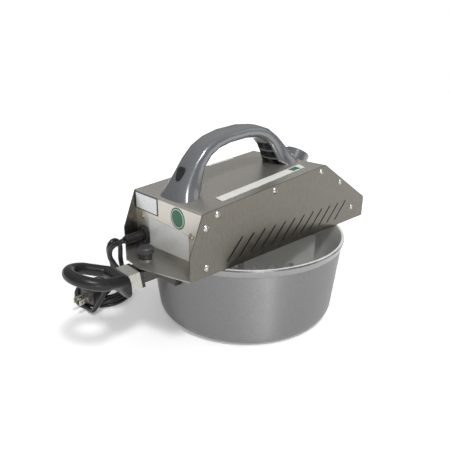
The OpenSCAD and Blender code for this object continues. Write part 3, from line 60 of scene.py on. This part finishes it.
def glowing_paper():
    """White paper: plain to the light that bounces, glowing to camera and glossy rays."""
    finish = bpy.data.materials.new("studio_white")
    finish.use_nodes = True
    tree = finish.node_tree
    tree.nodes.clear()
    out = tree.nodes.new("ShaderNodeOutputMaterial")
    matt = tree.nodes.new("ShaderNodeBsdfDiffuse")
    matt.inputs["Color"].default_value = grey(sheet_shade)
    glow = tree.nodes.new("ShaderNodeEmission")
    both = tree.nodes.new("ShaderNodeAddShader")
    rays = tree.nodes.new("ShaderNodeLightPath")
    seen = tree.nodes.new("ShaderNodeMath")
    seen.operation = "MAXIMUM"
    mix = tree.nodes.new("ShaderNodeMixShader")
    place = tree.nodes.new("ShaderNodeTexCoord")
    far = tree.nodes.new("ShaderNodeVectorMath")
    far.operation = "LENGTH"
    fade = tree.nodes.new("ShaderNodeMapRange")
    fade.inputs["From Min"].default_value = glow_starts
    fade.inputs["From Max"].default_value = glow_full
    fade.inputs["To Min"].default_value = glow_low
    fade.inputs["To Max"].default_value = glow_high
    tree.links.new(place.outputs["Object"], far.inputs[0])
    tree.links.new(far.outputs["Value"], fade.inputs["Value"])
    tree.links.new(fade.outputs[0], glow.inputs["Strength"])
    tree.links.new(rays.outputs["Is Camera Ray"], seen.inputs[0])
    tree.links.new(rays.outputs["Is Glossy Ray"], seen.inputs[1])
    tree.links.new(matt.outputs[0], both.inputs[0])
    tree.links.new(glow.outputs[0], both.inputs[1])
    tree.links.new(seen.outputs[0], mix.inputs[0])
    tree.links.new(matt.outputs[0], mix.inputs[1])
    tree.links.new(both.outputs[0], mix.inputs[2])
    tree.links.new(mix.outputs[0], out.inputs["Surface"])
    return finish


def pale_room():
    """A room that is white to the camera and lights the pot from above more than from below."""
    room = bpy.data.worlds.new("studio_room")
    room.use_nodes = True
    tree = room.node_tree
    tree.nodes.clear()
    out = tree.nodes.new("ShaderNodeOutputWorld")
    seen = tree.nodes.new("ShaderNodeBackground")
    seen.inputs["Color"].default_value = grey(1)
    light = tree.nodes.new("ShaderNodeBackground")
    light.inputs["Strength"].default_value = room_light
    rays = tree.nodes.new("ShaderNodeLightPath")
    mix = tree.nodes.new("ShaderNodeMixShader")
    place = tree.nodes.new("ShaderNodeTexCoord")
    split = tree.nodes.new("ShaderNodeSeparateXYZ")
    ramp = tree.nodes.new("ShaderNodeValToRGB")
    ramp.color_ramp.elements[0].position = room_low_share
    ramp.color_ramp.elements[0].color = grey(room_low_shade)
    ramp.color_ramp.elements[1].position = room_high_share
    ramp.color_ramp.elements[1].color = grey(1)
    tree.links.new(place.outputs["Generated"], split.inputs[0])
    tree.links.new(split.outputs["Z"], ramp.inputs[0])
    tree.links.new(ramp.outputs[0], light.inputs["Color"])
    tree.links.new(rays.outputs["Is Camera Ray"], mix.inputs[0])
    tree.links.new(light.outputs[0], mix.inputs[1])
    tree.links.new(seen.outputs[0], mix.inputs[2])
    tree.links.new(mix.outputs[0], out.inputs["Surface"])
    return room


sheet_mesh = bpy.data.meshes.new("studio_floor")
sheet_mesh.from_pydata([(-sheet_half, -sheet_half, 0), (sheet_half, -sheet_half, 0),
                        (sheet_half, sheet_half, 0), (-sheet_half, sheet_half, 0)],
                       [], [(0, 1, 2, 3)])
sheet_mesh.materials.append(glowing_paper())
studio_floor = bpy.data.objects.new("studio_floor", sheet_mesh)
scene.collection.objects.link(studio_floor)
scene.world = pale_room()


def hang_lamp(name, place, aim, size, power):
    lamp = bpy.data.lights.new(name, "AREA")
    lamp.shape = "SQUARE"
    lamp.size = size
    lamp.energy = power
    held = bpy.data.objects.new(name, lamp)
    held.location = place
    held.rotation_euler = (Vector(aim) - Vector(place)).to_track_quat("-Z", "Y").to_euler()
    scene.collection.objects.link(held)


# Lamps: the main one high behind the camera, a faint one low on its right, and a wide weak one
# further round to the right.
hang_lamp("key_softbox", place=(-0.47, -0.89, 1.41), aim=(-0.08, 0, 0.08), size=0.24, power=15)
hang_lamp("low_softbox", place=(-0.5, -1.4, 0.2), aim=(0, 0, 0.05), size=0.3, power=3)
hang_lamp("side_softbox", place=(1.1, -0.9, 0.7), aim=(0, 0, 0.08), size=0.7, power=1.5)

# Camera: where the photographer stood, solved from the housing's edges and the pot's rim.
camera_place = (-0.40535, -0.40203, 0.32485)
camera_tilt, camera_turn = 69.62, -42.46
lens = bpy.data.cameras.new("photo_camera")
lens.sensor_width = 36
lens.lens = 36.09
lens.clip_start = 0.01
photo_camera = bpy.data.objects.new("photo_camera", lens)
photo_camera.location = camera_place
photo_camera.rotation_euler = (radians(camera_tilt), 0, radians(camera_turn))
scene.collection.objects.link(photo_camera)
scene.camera = photo_camera
scene.view_settings.view_transform = "Standard"

# Finishes. Each one is a shader with a stretched noise in it, the grain, which varies its
# colour, its roughness and its height.
coat_roughness = 0.12
grain_detail = 6.0
grain_roughness = 0.6
grain_low, grain_high = 0.3, 0.7
plain_grain = (1, 1, 1)
lathe_turn = 0.25


def make_finish(name, colour, roughness, grain, shades, gloss, relief,
                stretch=plain_grain, metal=0.0, coat=0.0):
    """A finish: its grain runs between two shades and two roughnesses, relief is the bump's
    strength and its depth in metres."""
    finish = bpy.data.materials.new(name)
    finish.use_nodes = True
    tree = finish.node_tree
    shader = tree.nodes["Principled BSDF"]
    shader.inputs["Base Color"].default_value = (*colour, 1)
    shader.inputs["Roughness"].default_value = roughness
    shader.inputs["Metallic"].default_value = metal
    shader.inputs["Coat Weight"].default_value = coat
    shader.inputs["Coat Roughness"].default_value = coat_roughness
    place = tree.nodes.new("ShaderNodeTexCoord")
    pull = tree.nodes.new("ShaderNodeMapping")
    pull.inputs["Scale"].default_value = stretch
    noise = tree.nodes.new("ShaderNodeTexNoise")
    noise.inputs["Scale"].default_value = grain
    noise.inputs["Detail"].default_value = grain_detail
    noise.inputs["Roughness"].default_value = grain_roughness
    tint = tree.nodes.new("ShaderNodeValToRGB")
    for end, position, shade in zip(tint.color_ramp.elements, (grain_low, grain_high), shades):
        end.position = position
        end.color = (*shade, 1)
    shine = tree.nodes.new("ShaderNodeMapRange")
    shine.inputs["From Min"].default_value = grain_low
    shine.inputs["From Max"].default_value = grain_high
    shine.inputs["To Min"].default_value = gloss[0]
    shine.inputs["To Max"].default_value = gloss[1]
    bump = tree.nodes.new("ShaderNodeBump")
    bump.inputs["Strength"].default_value = relief[0]
    bump.inputs["Distance"].default_value = relief[1]
    tree.links.new(place.outputs["Object"], pull.inputs["Vector"])
    tree.links.new(pull.outputs[0], noise.inputs["Vector"])
    tree.links.new(noise.outputs["Fac"], tint.inputs[0])
    tree.links.new(noise.outputs["Fac"], shine.inputs["Value"])
    tree.links.new(noise.outputs["Fac"], bump.inputs["Height"])
    tree.links.new(tint.outputs[0], shader.inputs["Base Color"])
    tree.links.new(shine.outputs[0], shader.inputs["Roughness"])
    tree.links.new(bump.outputs[0], shader.inputs["Normal"])
    return finish


def set_shader(finish, entry, value):
    finish.node_tree.nodes["Principled BSDF"].inputs[entry].default_value = value


def ring_grooves(finish, pull):
    """Fine grooves of the lathe round the upright axis, which draw each highlight out upright."""
    tree = finish.node_tree
    round_axis = tree.nodes.new("ShaderNodeTangent")
    round_axis.direction_type = "RADIAL"
    round_axis.axis = "Z"
    tree.links.new(round_axis.outputs[0], tree.nodes["Principled BSDF"].inputs["Tangent"])
    set_shader(finish, "Anisotropic", pull)
    set_shader(finish, "Anisotropic Rotation", lathe_turn)


weld_gap = 0.000005
usual_crease, pot_crease, tooth_crease, knob_crease, bow_crease = 32, 28, 25, 35, 50


def dress(finish, *nodes, crease=usual_crease):
    """CAD solids keep their shape and get a finish, with smooth shading up to the creases."""
    for node in nodes:
        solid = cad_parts[node]
        mesh = solid.data
        mesh.materials.clear()
        mesh.materials.append(finish)
        for loose in ("custom_normal", "sharp_edge", "sharp_face"):
            if loose in mesh.attributes:
                mesh.attributes.remove(mesh.attributes[loose])
        for face in mesh.polygons:
            face.use_smooth = True
        weld = solid.modifiers.new("joined", "WELD")
        weld.merge_threshold = weld_gap
        split = solid.modifiers.new("creases", "EDGE_SPLIT")
        split.split_angle = radians(crease)


def place_piece(name, data, body):
    """A new piece with its data, which rides on a body."""
    piece = bpy.data.objects.new(name, data)
    scene.collection.objects.link(piece)
    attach(piece, body)
    return piece


# Mains cord: a round black lead moulded over two cores. It leaves its bend relief, hangs in
# one loop beside the handle, falls to the table and lies there in a coil with the plug on it.
# Its stops and the coil's sizes are in millimetres, as in the part's source.
cord_d = 0.006
deck_z = 109.2
cord_z = deck_z + 16
coil_x, coil_y, coil_out_r, coil_pitch = -143, 143.5, 40, 6.6
coil_low_z, coil_start_a, coil_turns, climb_turns = 3.3, 190, 5.32, 0.5
coil_steps = 128
plug_x, plug_y, plug_z, plug_a = -147, 123.5, 22.6, radians(190)
plug_stub, plug_relief_l = 26, 20
span_steps = 6
section_steps = 5
relief_end = (-163.5, 36, cord_z)
inside_stops = [
    (-90, 40, 154), (-98, 40, 153), (-109, 39, 145), (-118, 37, 131), (-122, 36, 126.5),
    (-125.5, 36, cord_z), (-128, 36, cord_z), (-135, 36, cord_z), (-150, 36, cord_z),
    (-157, 36, cord_z)]
hanging_stops = [
    (-169, 39, 122.5), (-173, 44, 119), (-176, 49, 112), (-176, 51, 103), (-173, 50.5, 95),
    (-168, 50, 86), (-162, 52, 79.5), (-157, 58, 77), (-154, 65, 80.5), (-153, 68.5, 88),
    (-152.3, 69, 95), (-152.6, 67.5, 103), (-155.5, 64.5, 111.5), (-162.5, 61.5, 117),
    (-168.5, 60.5, 115.5), (-171, 62, 108.5), (-170, 63.5, 99.5), (-166.5, 66, 88),
    (-163.5, 72, 73), (-167, 81, 52), (-172.5, 92, 29), (-179.5, 102, 10), (-180.5, 112, 4.5),
    (-180.3, 122, 3.5)]


def coil_stop(turn):
    """The coil winds inward on the table, climbs at half its turns and winds outward again."""
    half = coil_turns / 2
    climb = max(0, min(1, (turn - (coil_turns - climb_turns) / 2) / climb_turns))
    radius = coil_out_r - coil_pitch * (half - abs(turn - half))
    angle = radians(coil_start_a - 360 * turn)
    return (coil_x + radius * cos(angle), coil_y + radius * sin(angle),
            coil_low_z + coil_pitch * (1 - cos(pi * climb)) / 2)


def over_coil(angle, radius, height):
    return (coil_x + radius * cos(radians(angle)), coil_y + radius * sin(radians(angle)), height)


def behind_plug(back):
    return (plug_x - back * cos(plug_a), plug_y - back * sin(plug_a), plug_z)


coil_stops = [coil_stop(coil_turns * i / coil_steps) for i in range(coil_steps + 1)]
tail_stops = [over_coil(52, 40, 12), over_coil(36, 39, 15), over_coil(18, 37, 17.5),
              over_coil(0, 34, 19.8), over_coil(-20, 30.5, 21.6), behind_plug(plug_stub),
              behind_plug(plug_relief_l), behind_plug(plug_relief_l / 2), behind_plug(1)]


def smooth_route(stops):
    """Points of one smooth curve through the stops, in metres."""
    stops = [Vector(s) for s in stops]
    line = []
    for i in range(len(stops) - 1):
        before = stops[max(i - 1, 0)]
        after = stops[min(i + 2, len(stops) - 1)]
        for k in range(span_steps):
            t = k / span_steps
            line.append((2 * stops[i] + (stops[i + 1] - before) * t
                         + (2 * before - 5 * stops[i] + 4 * stops[i + 1] - after) * t * t
                         + (3 * stops[i] - before - 3 * stops[i + 1] + after) * t * t * t)
                        / (2 * mm_per_m))
    line.append(stops[-1] / mm_per_m)
    return line


def lay_cord(name, line, finish):
    """One open spline with a round section, laid along the line, on the head."""
    data = bpy.data.curves.new(name, "CURVE")
    data.dimensions = "3D"
    data.bevel_depth = cord_d / 2
    data.bevel_resolution = section_steps
    data.use_fill_caps = True
    spline = data.splines.new("POLY")
    spline.points.add(len(line) - 1)
    for point, place in zip(spline.points, line):
        point.co = (*place, 1)
    spline.use_smooth = True
    data.materials.append(finish)
    piece = place_piece(name, data, "head")
    return piece


cord_black = make_finish("cord_black", (0.01, 0.01, 0.011), 0.32, grain=900,
                         shades=((0.008, 0.008, 0.009), (0.015, 0.015, 0.016)),
                         gloss=(0.26, 0.38), relief=(0.15, 0.0002))
cord_line = (smooth_route([relief_end] + hanging_stops + [coil_stops[0]])
             + [Vector(s) / mm_per_m for s in coil_stops[1:-1]]
             + smooth_route([coil_stops[-1]] + tail_stops))
mains_cord = lay_cord("mains_cord", cord_line, cord_black)
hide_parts("cord_lead", "cord_coil", "cord_tail")
lay_cord("lead_inside", smooth_route(inside_stops + [relief_end]), cord_black)

# Plug: a black body moulded round the cord's end with two flat brass blades, plated bright.
moulded_black = make_finish("moulded_black", (0.012, 0.012, 0.013), 0.34, grain=1400,
                            shades=((0.009, 0.009, 0.01), (0.018, 0.018, 0.019)),
                            gloss=(0.28, 0.4), relief=(0.2, 0.0002))
blade_plate = make_finish("blade_plate", (0.72, 0.68, 0.58), 0.25, metal=1.0, grain=700,
                          stretch=(1, 1, 6), shades=((0.62, 0.58, 0.5), (0.8, 0.76, 0.66)),
                          gloss=(0.2, 0.34), relief=(0.08, 0.0001))
dress(moulded_black, "plug_body")
dress(blade_plate, "plug_pins")

# Bend relief of the cord: flange, ribbed sleeve and the nut behind the plate, all black.
dress(moulded_black, "cord_boot", "cord_flange", "cord_nut")

# Pot: sand-cast aluminium, satin grey outside, turned inside and on the rim band.
upward = 0.5
inward = -0.001
base_top_z = 0.004
band_low_z = 0.0975
pot_skin = make_finish("pot_skin", (0.25, 0.25, 0.252), 0.34, metal=1.0, grain=700,
                       stretch=(1, 1, 2), shades=((0.2, 0.2, 0.202), (0.3, 0.3, 0.302)),
                       gloss=(0.36, 0.46), relief=(0.12, 0.0002))
# The turned finish is partly the real turned metal and partly painted light: it is near white and
# little metallic, so that the inside, which the head shades, still shows bright.
turned_alu_and_painted_light = make_finish("turned_alu_and_painted_light", (0.9, 0.9, 0.88), 0.34, metal=0.15, grain=500,
                         stretch=(1, 1, 14), shades=((0.84, 0.84, 0.82), (0.95, 0.95, 0.93)),
                         gloss=(0.28, 0.4), relief=(0.1, 0.0001))
band_alu = make_finish("band_alu", (0.32, 0.32, 0.325), 0.26, metal=1.0, grain=500,
                       stretch=(1, 1, 14), shades=((0.27, 0.27, 0.275), (0.38, 0.38, 0.385)),
                       gloss=(0.2, 0.32), relief=(0.1, 0.0001))
ring_grooves(pot_skin, 0.85)
ring_grooves(band_alu, 0.8)
dress(pot_skin, "pot", crease=pot_crease)
pot_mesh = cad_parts["pot"].data
pot_mesh.materials.append(turned_alu_and_painted_light)
pot_mesh.materials.append(band_alu)
# Faces inside and facing up take the turned finish with its painted light, and faces on the band
# take the rim band's finish.
for face in pot_mesh.polygons:
    middle = face.center
    outward = middle.x * face.normal.x + middle.y * face.normal.y
    if outward < inward or (face.normal.z > upward and middle.z > base_top_z):
        face.material_index = 1
    elif middle.z > band_low_z:
        face.material_index = 2

# Handle bracket: a cast arm with a pad riveted to the pot and a boss for the clamp screw.
# Painted shade: the shiny casting under the tongue is coloured near black, as dark as the shade
# that falls on it.
painted_shade_casting = make_finish("painted_shade_casting", (0.07, 0.067, 0.062), 0.24, metal=0.85, grain=700,
                           shades=((0.05, 0.048, 0.045), (0.1, 0.096, 0.09)),
                           gloss=(0.18, 0.32), relief=(0.25, 0.0003))
rivet_alu = make_finish("rivet_alu", (0.66, 0.66, 0.67), 0.3, metal=1.0, grain=900,
                        shades=((0.58, 0.58, 0.59), (0.72, 0.72, 0.73)),
                        gloss=(0.24, 0.38), relief=(0.15, 0.0002))
dress(painted_shade_casting, "handle_bracket")
dress(rivet_alu, "bracket_rivets")

# Sleeve: a short bright channel of bent sheet between bracket and handle.
bright_sheet = make_finish("bright_sheet", (0.56, 0.55, 0.51), 0.28, metal=0.6, grain=500,
                           stretch=(1, 12, 12), shades=((0.5, 0.49, 0.455), (0.63, 0.62, 0.575)),
                           gloss=(0.24, 0.36), relief=(0.1, 0.0001))
dress(bright_sheet, "handle_sleeve")

# Loop handle: one resin moulding, a ring that flows into its oval foot; a screw holds it.
grip_voxel = 0.0011
flow_share, flow_rounds = 0.6, 14
handle_resin = make_finish("handle_resin", (0.012, 0.012, 0.012), 0.36, grain=1100,
                           shades=((0.009, 0.009, 0.009), (0.017, 0.017, 0.017)),
                           gloss=(0.3, 0.42), relief=(0.18, 0.0002))
set_shader(handle_resin, "Specular IOR Level", 0.35)
grip_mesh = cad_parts["loop_handle"].data.copy()
grip_mesh.name = "moulded_grip"
grip_mesh.materials.clear()
grip_mesh.materials.append(handle_resin)
moulded_grip = place_piece("moulded_grip", grip_mesh, "base")
remesh = moulded_grip.modifiers.new("even_skin", "REMESH")
remesh.mode = "VOXEL"
remesh.voxel_size = grip_voxel
remesh.use_smooth_shade = True
flow = moulded_grip.modifiers.new("flowing_joints", "SMOOTH")
flow.factor = flow_share
flow.iterations = flow_rounds
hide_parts("loop_handle")
screw_zinc = make_finish("screw_zinc", (0.5, 0.49, 0.46), 0.26, metal=1.0, grain=1500,
                         shades=((0.43, 0.42, 0.39), (0.58, 0.57, 0.54)),
                         gloss=(0.22, 0.36), relief=(0.12, 0.0001))
dress(screw_zinc, "loop_handle_screw")

# Housing: two flat side panels, a bent cover and the floor plate, all of brushed stainless sheet.
# The side panels and the floor plate are painted darker than the cover, as painted shade.
# The side panels' sheet is painted far darker than the cover's, as painted shade.
painted_shade_side = make_finish("painted_shade_side", (0.16, 0.151, 0.13), 0.3, metal=0.97, grain=420,
                           stretch=(9, 1, 0.35), shades=((0.12, 0.113, 0.097), (0.2, 0.188, 0.163)),
                           gloss=(0.24, 0.38), relief=(0.12, 0.0001))
brushed_top = make_finish("brushed_top", (0.56, 0.535, 0.485), 0.3, metal=0.85, grain=420,
                          stretch=(0.35, 9, 9), shades=((0.49, 0.465, 0.42), (0.63, 0.605, 0.555)),
                          gloss=(0.24, 0.38), relief=(0.12, 0.0001))
# The floor plate's sheet is painted darker than the cover's, as painted shade.
painted_shade_deck = make_finish("painted_shade_deck", (0.36, 0.35, 0.325), 0.32, metal=0.8, grain=420,
                         stretch=(0.35, 9, 9), shades=((0.31, 0.3, 0.28), (0.42, 0.41, 0.38)),
                         gloss=(0.28, 0.42), relief=(0.12, 0.0001))
dress(painted_shade_side, "right_side_panel", "left_side_panel")
dress(brushed_top, "top_cover")
dress(painted_shade_deck, "floor_plate")

# Plates and stickers of the head, all thin film: a bare nameplate with a black edge, a round
# green seal and a bare rating label on the near end, and plain strips along the top. Their
# outlines are in millimetres, as (y, z) on the end plate and as (x, y) on the top sheet.
end_x = -135.5
end_out = (-1, 0, 0)
top_low_x, top_low_z, top_rise = -136, 178.1, 0.0958
top_out = (-0.095, 0, 0.995)
plate_proud = 0.2
nameplate_edge_outline = [(50.5, 177.0), (5, 177.0), (5, 155.8), (50.5, 155.8)]
nameplate_outline = [(49, 175.6), (6.5, 175.6), (6.5, 157.2), (49, 157.2)]
rating_outline = [(24, 151.5), (-51, 148), (-51, 119), (24, 114.5)]
strip_outline = [(-97, -49.5), (-99, -63.5), (44, -59.5), (49, -45.5)]
strip_seal_outline = [(24, -48.5), (24, -58), (38, -57.5), (39, -48)]
thin_strip_outline = [(-23, 53), (-23, 47), (22, 47), (22, 53)]
film_t, seal_film_t = 0.00025, 0.0004
film_lift = 0.0002
film_across, film_along = 12, 6
film_edge_share = 0.4


def on_end(outline, proud=0):
    return [(end_x - proud, y, z) for y, z in outline]


def on_top(outline):
    return [(x, y, top_low_z + (x - top_low_x) * top_rise) for x, y in outline]


def stick_on(name, corners, out, finish, thick=film_t):
    """Thin film over four corners, with its edge rounded."""
    mesh = bpy.data.meshes.new(name)
    film = bmesh.new()
    a, b, c, d = [Vector(p) / mm_per_m for p in corners]
    lift = Vector(out) * film_lift
    grid = [[film.verts.new(a.lerp(b, i / film_across).lerp(d.lerp(c, i / film_across),
                                                            j / film_along) + lift)
             for i in range(film_across + 1)] for j in range(film_along + 1)]
    for j in range(film_along):
        for i in range(film_across):
            film.faces.new((grid[j][i], grid[j][i + 1], grid[j + 1][i + 1], grid[j + 1][i]))
    film.normal_update()
    film.faces.ensure_lookup_table()
    if film.faces[0].normal.dot(Vector(out)) < 0:
        bmesh.ops.reverse_faces(film, faces=film.faces[:])
    film.to_mesh(mesh)
    film.free()
    mesh.materials.append(finish)
    piece = place_piece(name, mesh, "head")
    body = piece.modifiers.new("film", "SOLIDIFY")
    body.thickness = thick
    body.offset = 1
    soft = piece.modifiers.new("soft_edge", "BEVEL")
    soft.width = thick * film_edge_share
    soft.segments = 2


plate_edge = make_finish("plate_edge", (0.02, 0.02, 0.022), 0.35, grain=800,
                         shades=((0.017, 0.017, 0.019), (0.028, 0.028, 0.03)),
                         gloss=(0.3, 0.42), relief=(0.08, 0.0001))
plate_face = make_finish("plate_face", (0.74, 0.75, 0.76), 0.3, metal=0.3, grain=260,
                         stretch=(1, 1, 8), shades=((0.68, 0.69, 0.7), (0.8, 0.81, 0.82)),
                         gloss=(0.26, 0.36), relief=(0.05, 0.0001))
label_film = make_finish("label_film", (0.66, 0.66, 0.64), 0.34, metal=0.15, grain=300,
                         shades=((0.61, 0.61, 0.59), (0.7, 0.7, 0.68)),
                         gloss=(0.28, 0.4), relief=(0.06, 0.0001))
seal_green = make_finish("seal_green", (0.012, 0.13, 0.06), 0.4, grain=900,
                         shades=((0.009, 0.105, 0.048), (0.02, 0.165, 0.078)),
                         gloss=(0.34, 0.46), relief=(0.06, 0.0001))
strip_white = make_finish("strip_white", (0.78, 0.78, 0.74), 0.4, grain=500,
                          shades=((0.72, 0.72, 0.68), (0.82, 0.82, 0.78)),
                          gloss=(0.34, 0.46), relief=(0.05, 0.0001))
stick_on("nameplate_edge", on_end(nameplate_edge_outline), end_out, plate_edge)
stick_on("nameplate", on_end(nameplate_outline, plate_proud), end_out, plate_face)
stick_on("rating_label", on_end(rating_outline), end_out, label_film)
stick_on("top_strip", on_top(strip_outline), top_out, strip_white)
stick_on("top_strip_seal", on_top(strip_seal_outline), top_out, seal_green, seal_film_t)
stick_on("thin_strip", on_top(thin_strip_outline), top_out, strip_white)

# Round seal: a green disc and the pale ring on it, in millimetres like the outlines above.
seal_y, seal_z = -32, 163
seal_r, seal_t = 12.3, 0.35
border_r, border_t, border_share = 10.6, 0.5, 0.07
seal_sides = 64
wall_share, turned_in_share, middle_share = 0.7, 0.985, 0.5


def round_seal(name, radius, depth, finish, ring=0):
    """A disc, or a ring whose width is a share of its radius, with its edge turned over."""
    mesh = bpy.data.meshes.new(name)
    disc = bmesh.new()
    rows = [(radius, 0.0), (radius, depth * wall_share), (radius * turned_in_share, depth)]
    if ring:
        rows += [(radius * (1 - ring), depth), (radius * (1 - ring), 0.0)]
    else:
        rows += [(radius * middle_share, depth)]
    rounds = []
    for r, h in rows:
        corners = []
        for k in range(seal_sides):
            angle = 2 * pi * k / seal_sides
            place = Vector((end_x - h, seal_y + r * cos(angle), seal_z + r * sin(angle)))
            corners.append(disc.verts.new(place / mm_per_m))
        rounds.append(corners)
    for low, high in zip(rounds, rounds[1:]):
        for k in range(seal_sides):
            after = (k + 1) % seal_sides
            disc.faces.new((low[k], high[k], high[after], low[after]))
    if not ring:
        disc.faces.new(list(reversed(rounds[-1])))
    bmesh.ops.recalc_face_normals(disc, faces=disc.faces[:])
    disc.to_mesh(mesh)
    disc.free()
    mesh.materials.append(finish)
    place_piece(name, mesh, "head")


round_seal("green_seal", seal_r, seal_t, seal_green)
round_seal("seal_border", border_r, border_t, strip_white, border_share)

# Stops under the floor plate: four clear blocks that centre the head in the rim, each riveted.
stop_clear = make_finish("stop_clear", (0.8, 0.8, 0.78), 0.2, grain=400,
                         shades=((0.74, 0.74, 0.72), (0.86, 0.86, 0.84)),
                         gloss=(0.16, 0.26), relief=(0.05, 0.0001))
set_shader(stop_clear, "Transmission Weight", 0.35)
dress(stop_clear, "rim_stops")
dress(rivet_alu, "stop_rivets")

# Fastenings of the housing: plated pan screws, and two brass-coloured ones on the near plate.
brass_screw = make_finish("brass_screw", (0.5, 0.43, 0.3), 0.3, metal=1.0, grain=1500,
                          shades=((0.42, 0.36, 0.25), (0.58, 0.5, 0.36)),
                          gloss=(0.26, 0.4), relief=(0.12, 0.0001))
dress(screw_zinc, "panel_screws")
dress(brass_screw, "end_screws")

# Carry handle: a hollow bow moulded in metallic grey plastic and polished, with a black oval
# cap over the hole in each leg and two bolts up through the cover into each foot.
grey_gloss = make_finish("grey_gloss", (0.16, 0.165, 0.175), 0.2, metal=0.4, coat=0.9,
                         grain=2600, shades=((0.13, 0.135, 0.145), (0.175, 0.18, 0.19)),
                         gloss=(0.2, 0.28), relief=(0.04, 0.0001))
dress(grey_gloss, "carry_handle", crease=bow_crease)
dress(moulded_black, "carry_handle_caps")
dress(screw_zinc, "carry_handle_bolts")

# Clamp: a dark grey fluted knob moulded on a plated screw, with a loose washer under it.
knob_grey = make_finish("knob_grey", (0.04, 0.041, 0.044), 0.4, grain=1300,
                        shades=((0.032, 0.033, 0.036), (0.055, 0.056, 0.06)),
                        gloss=(0.34, 0.46), relief=(0.15, 0.0002))
dress(knob_grey, "clamp_knob")
dress(screw_zinc, "clamp_stud", "clamp_washer")

# Gear case in the head: two machined castings round the worm drive, screwed to the floor plate.
cast_alu = make_finish("cast_alu", (0.27, 0.27, 0.275), 0.34, metal=1.0, grain=900,
                       shades=((0.23, 0.23, 0.235), (0.32, 0.32, 0.325)),
                       gloss=(0.28, 0.4), relief=(0.22, 0.0002))
bearing_steel = make_finish("bearing_steel", (0.68, 0.68, 0.7), 0.2, metal=1.0, grain=800,
                            stretch=(1, 1, 4), shades=((0.6, 0.6, 0.62), (0.76, 0.76, 0.78)),
                            gloss=(0.16, 0.28), relief=(0.08, 0.0001))
wheel_bronze = make_finish("wheel_bronze", (0.62, 0.42, 0.18), 0.34, metal=1.0, grain=600,
                           shades=((0.52, 0.34, 0.14), (0.7, 0.5, 0.24)),
                           gloss=(0.28, 0.42), relief=(0.12, 0.0001))
dress(cast_alu, "gear_case", "gear_case_lid")
dress(screw_zinc, "lid_screws")
dress(bearing_steel, "shaft_bearings", "worm_bearings", "drive_shaft", "wheel_key")
dress(moulded_black, "shaft_seal")
dress(bearing_steel, "worm", crease=tooth_crease)
dress(wheel_bronze, "worm_wheel", crease=tooth_crease)

# Motor: a painted can with its winding inside, a cast end bell, four long bolts and a fan.
can_paint = make_finish("can_paint", (0.09, 0.095, 0.1), 0.45, metal=0.2, grain=900,
                        shades=((0.075, 0.08, 0.085), (0.11, 0.115, 0.12)),
                        gloss=(0.4, 0.52), relief=(0.3, 0.0003))
bell_alloy = make_finish("bell_alloy", (0.5, 0.5, 0.51), 0.45, metal=0.9, grain=700,
                         shades=((0.42, 0.42, 0.43), (0.58, 0.58, 0.59)),
                         gloss=(0.4, 0.54), relief=(0.3, 0.0003))
core_steel = make_finish("core_steel", (0.3, 0.22, 0.16), 0.5, metal=0.6, grain=300,
                         stretch=(30, 1, 1), shades=((0.22, 0.16, 0.12), (0.36, 0.27, 0.2)),
                         gloss=(0.42, 0.6), relief=(0.3, 0.0003))
dress(can_paint, "motor_case")
dress(bell_alloy, "motor_end_bell")
dress(core_steel, "motor_stator", "motor_rotor")
dress(screw_zinc, "motor_bolts")
dress(moulded_black, "cooling_fan")

# Wiring inside the head: capacitor in its clip, terminal block and its bracket.
can_bare = make_finish("can_bare", (0.7, 0.7, 0.71), 0.3, metal=1.0, grain=500,
                       stretch=(1, 1, 8), shades=((0.62, 0.62, 0.63), (0.76, 0.76, 0.77)),
                       gloss=(0.24, 0.38), relief=(0.1, 0.0001))
block_cream = make_finish("block_cream", (0.74, 0.72, 0.66), 0.45, grain=900,
                          shades=((0.68, 0.66, 0.6), (0.8, 0.78, 0.72)),
                          gloss=(0.4, 0.5), relief=(0.12, 0.0002))
dress(can_bare, "start_capacitor")
dress(brushed_top, "capacitor_clip", "wiring_bracket")
dress(screw_zinc, "clip_screws")
dress(block_cream, "terminal_block")

# Agitator: a hub pinned on the shaft and two perforated blades of polished stainless sheet.
polished_blade = make_finish("polished_blade", (0.78, 0.78, 0.76), 0.22, metal=0.55, grain=500,
                             stretch=(1, 1, 10), shades=((0.66, 0.66, 0.65), (0.8, 0.8, 0.79)),
                             gloss=(0.12, 0.24), relief=(0.06, 0.0001))
dress(polished_blade, "agitator_hub", "agitator_blades")
dress(bearing_steel, "agitator_pin")

# Switch on the far slope: a black body behind the sheet and a grey knob with a pointer line.
dress(moulded_black, "switch_body")
dress(bearing_steel, "switch_spindle")
dress(grey_gloss, "switch_knob", crease=knob_crease)
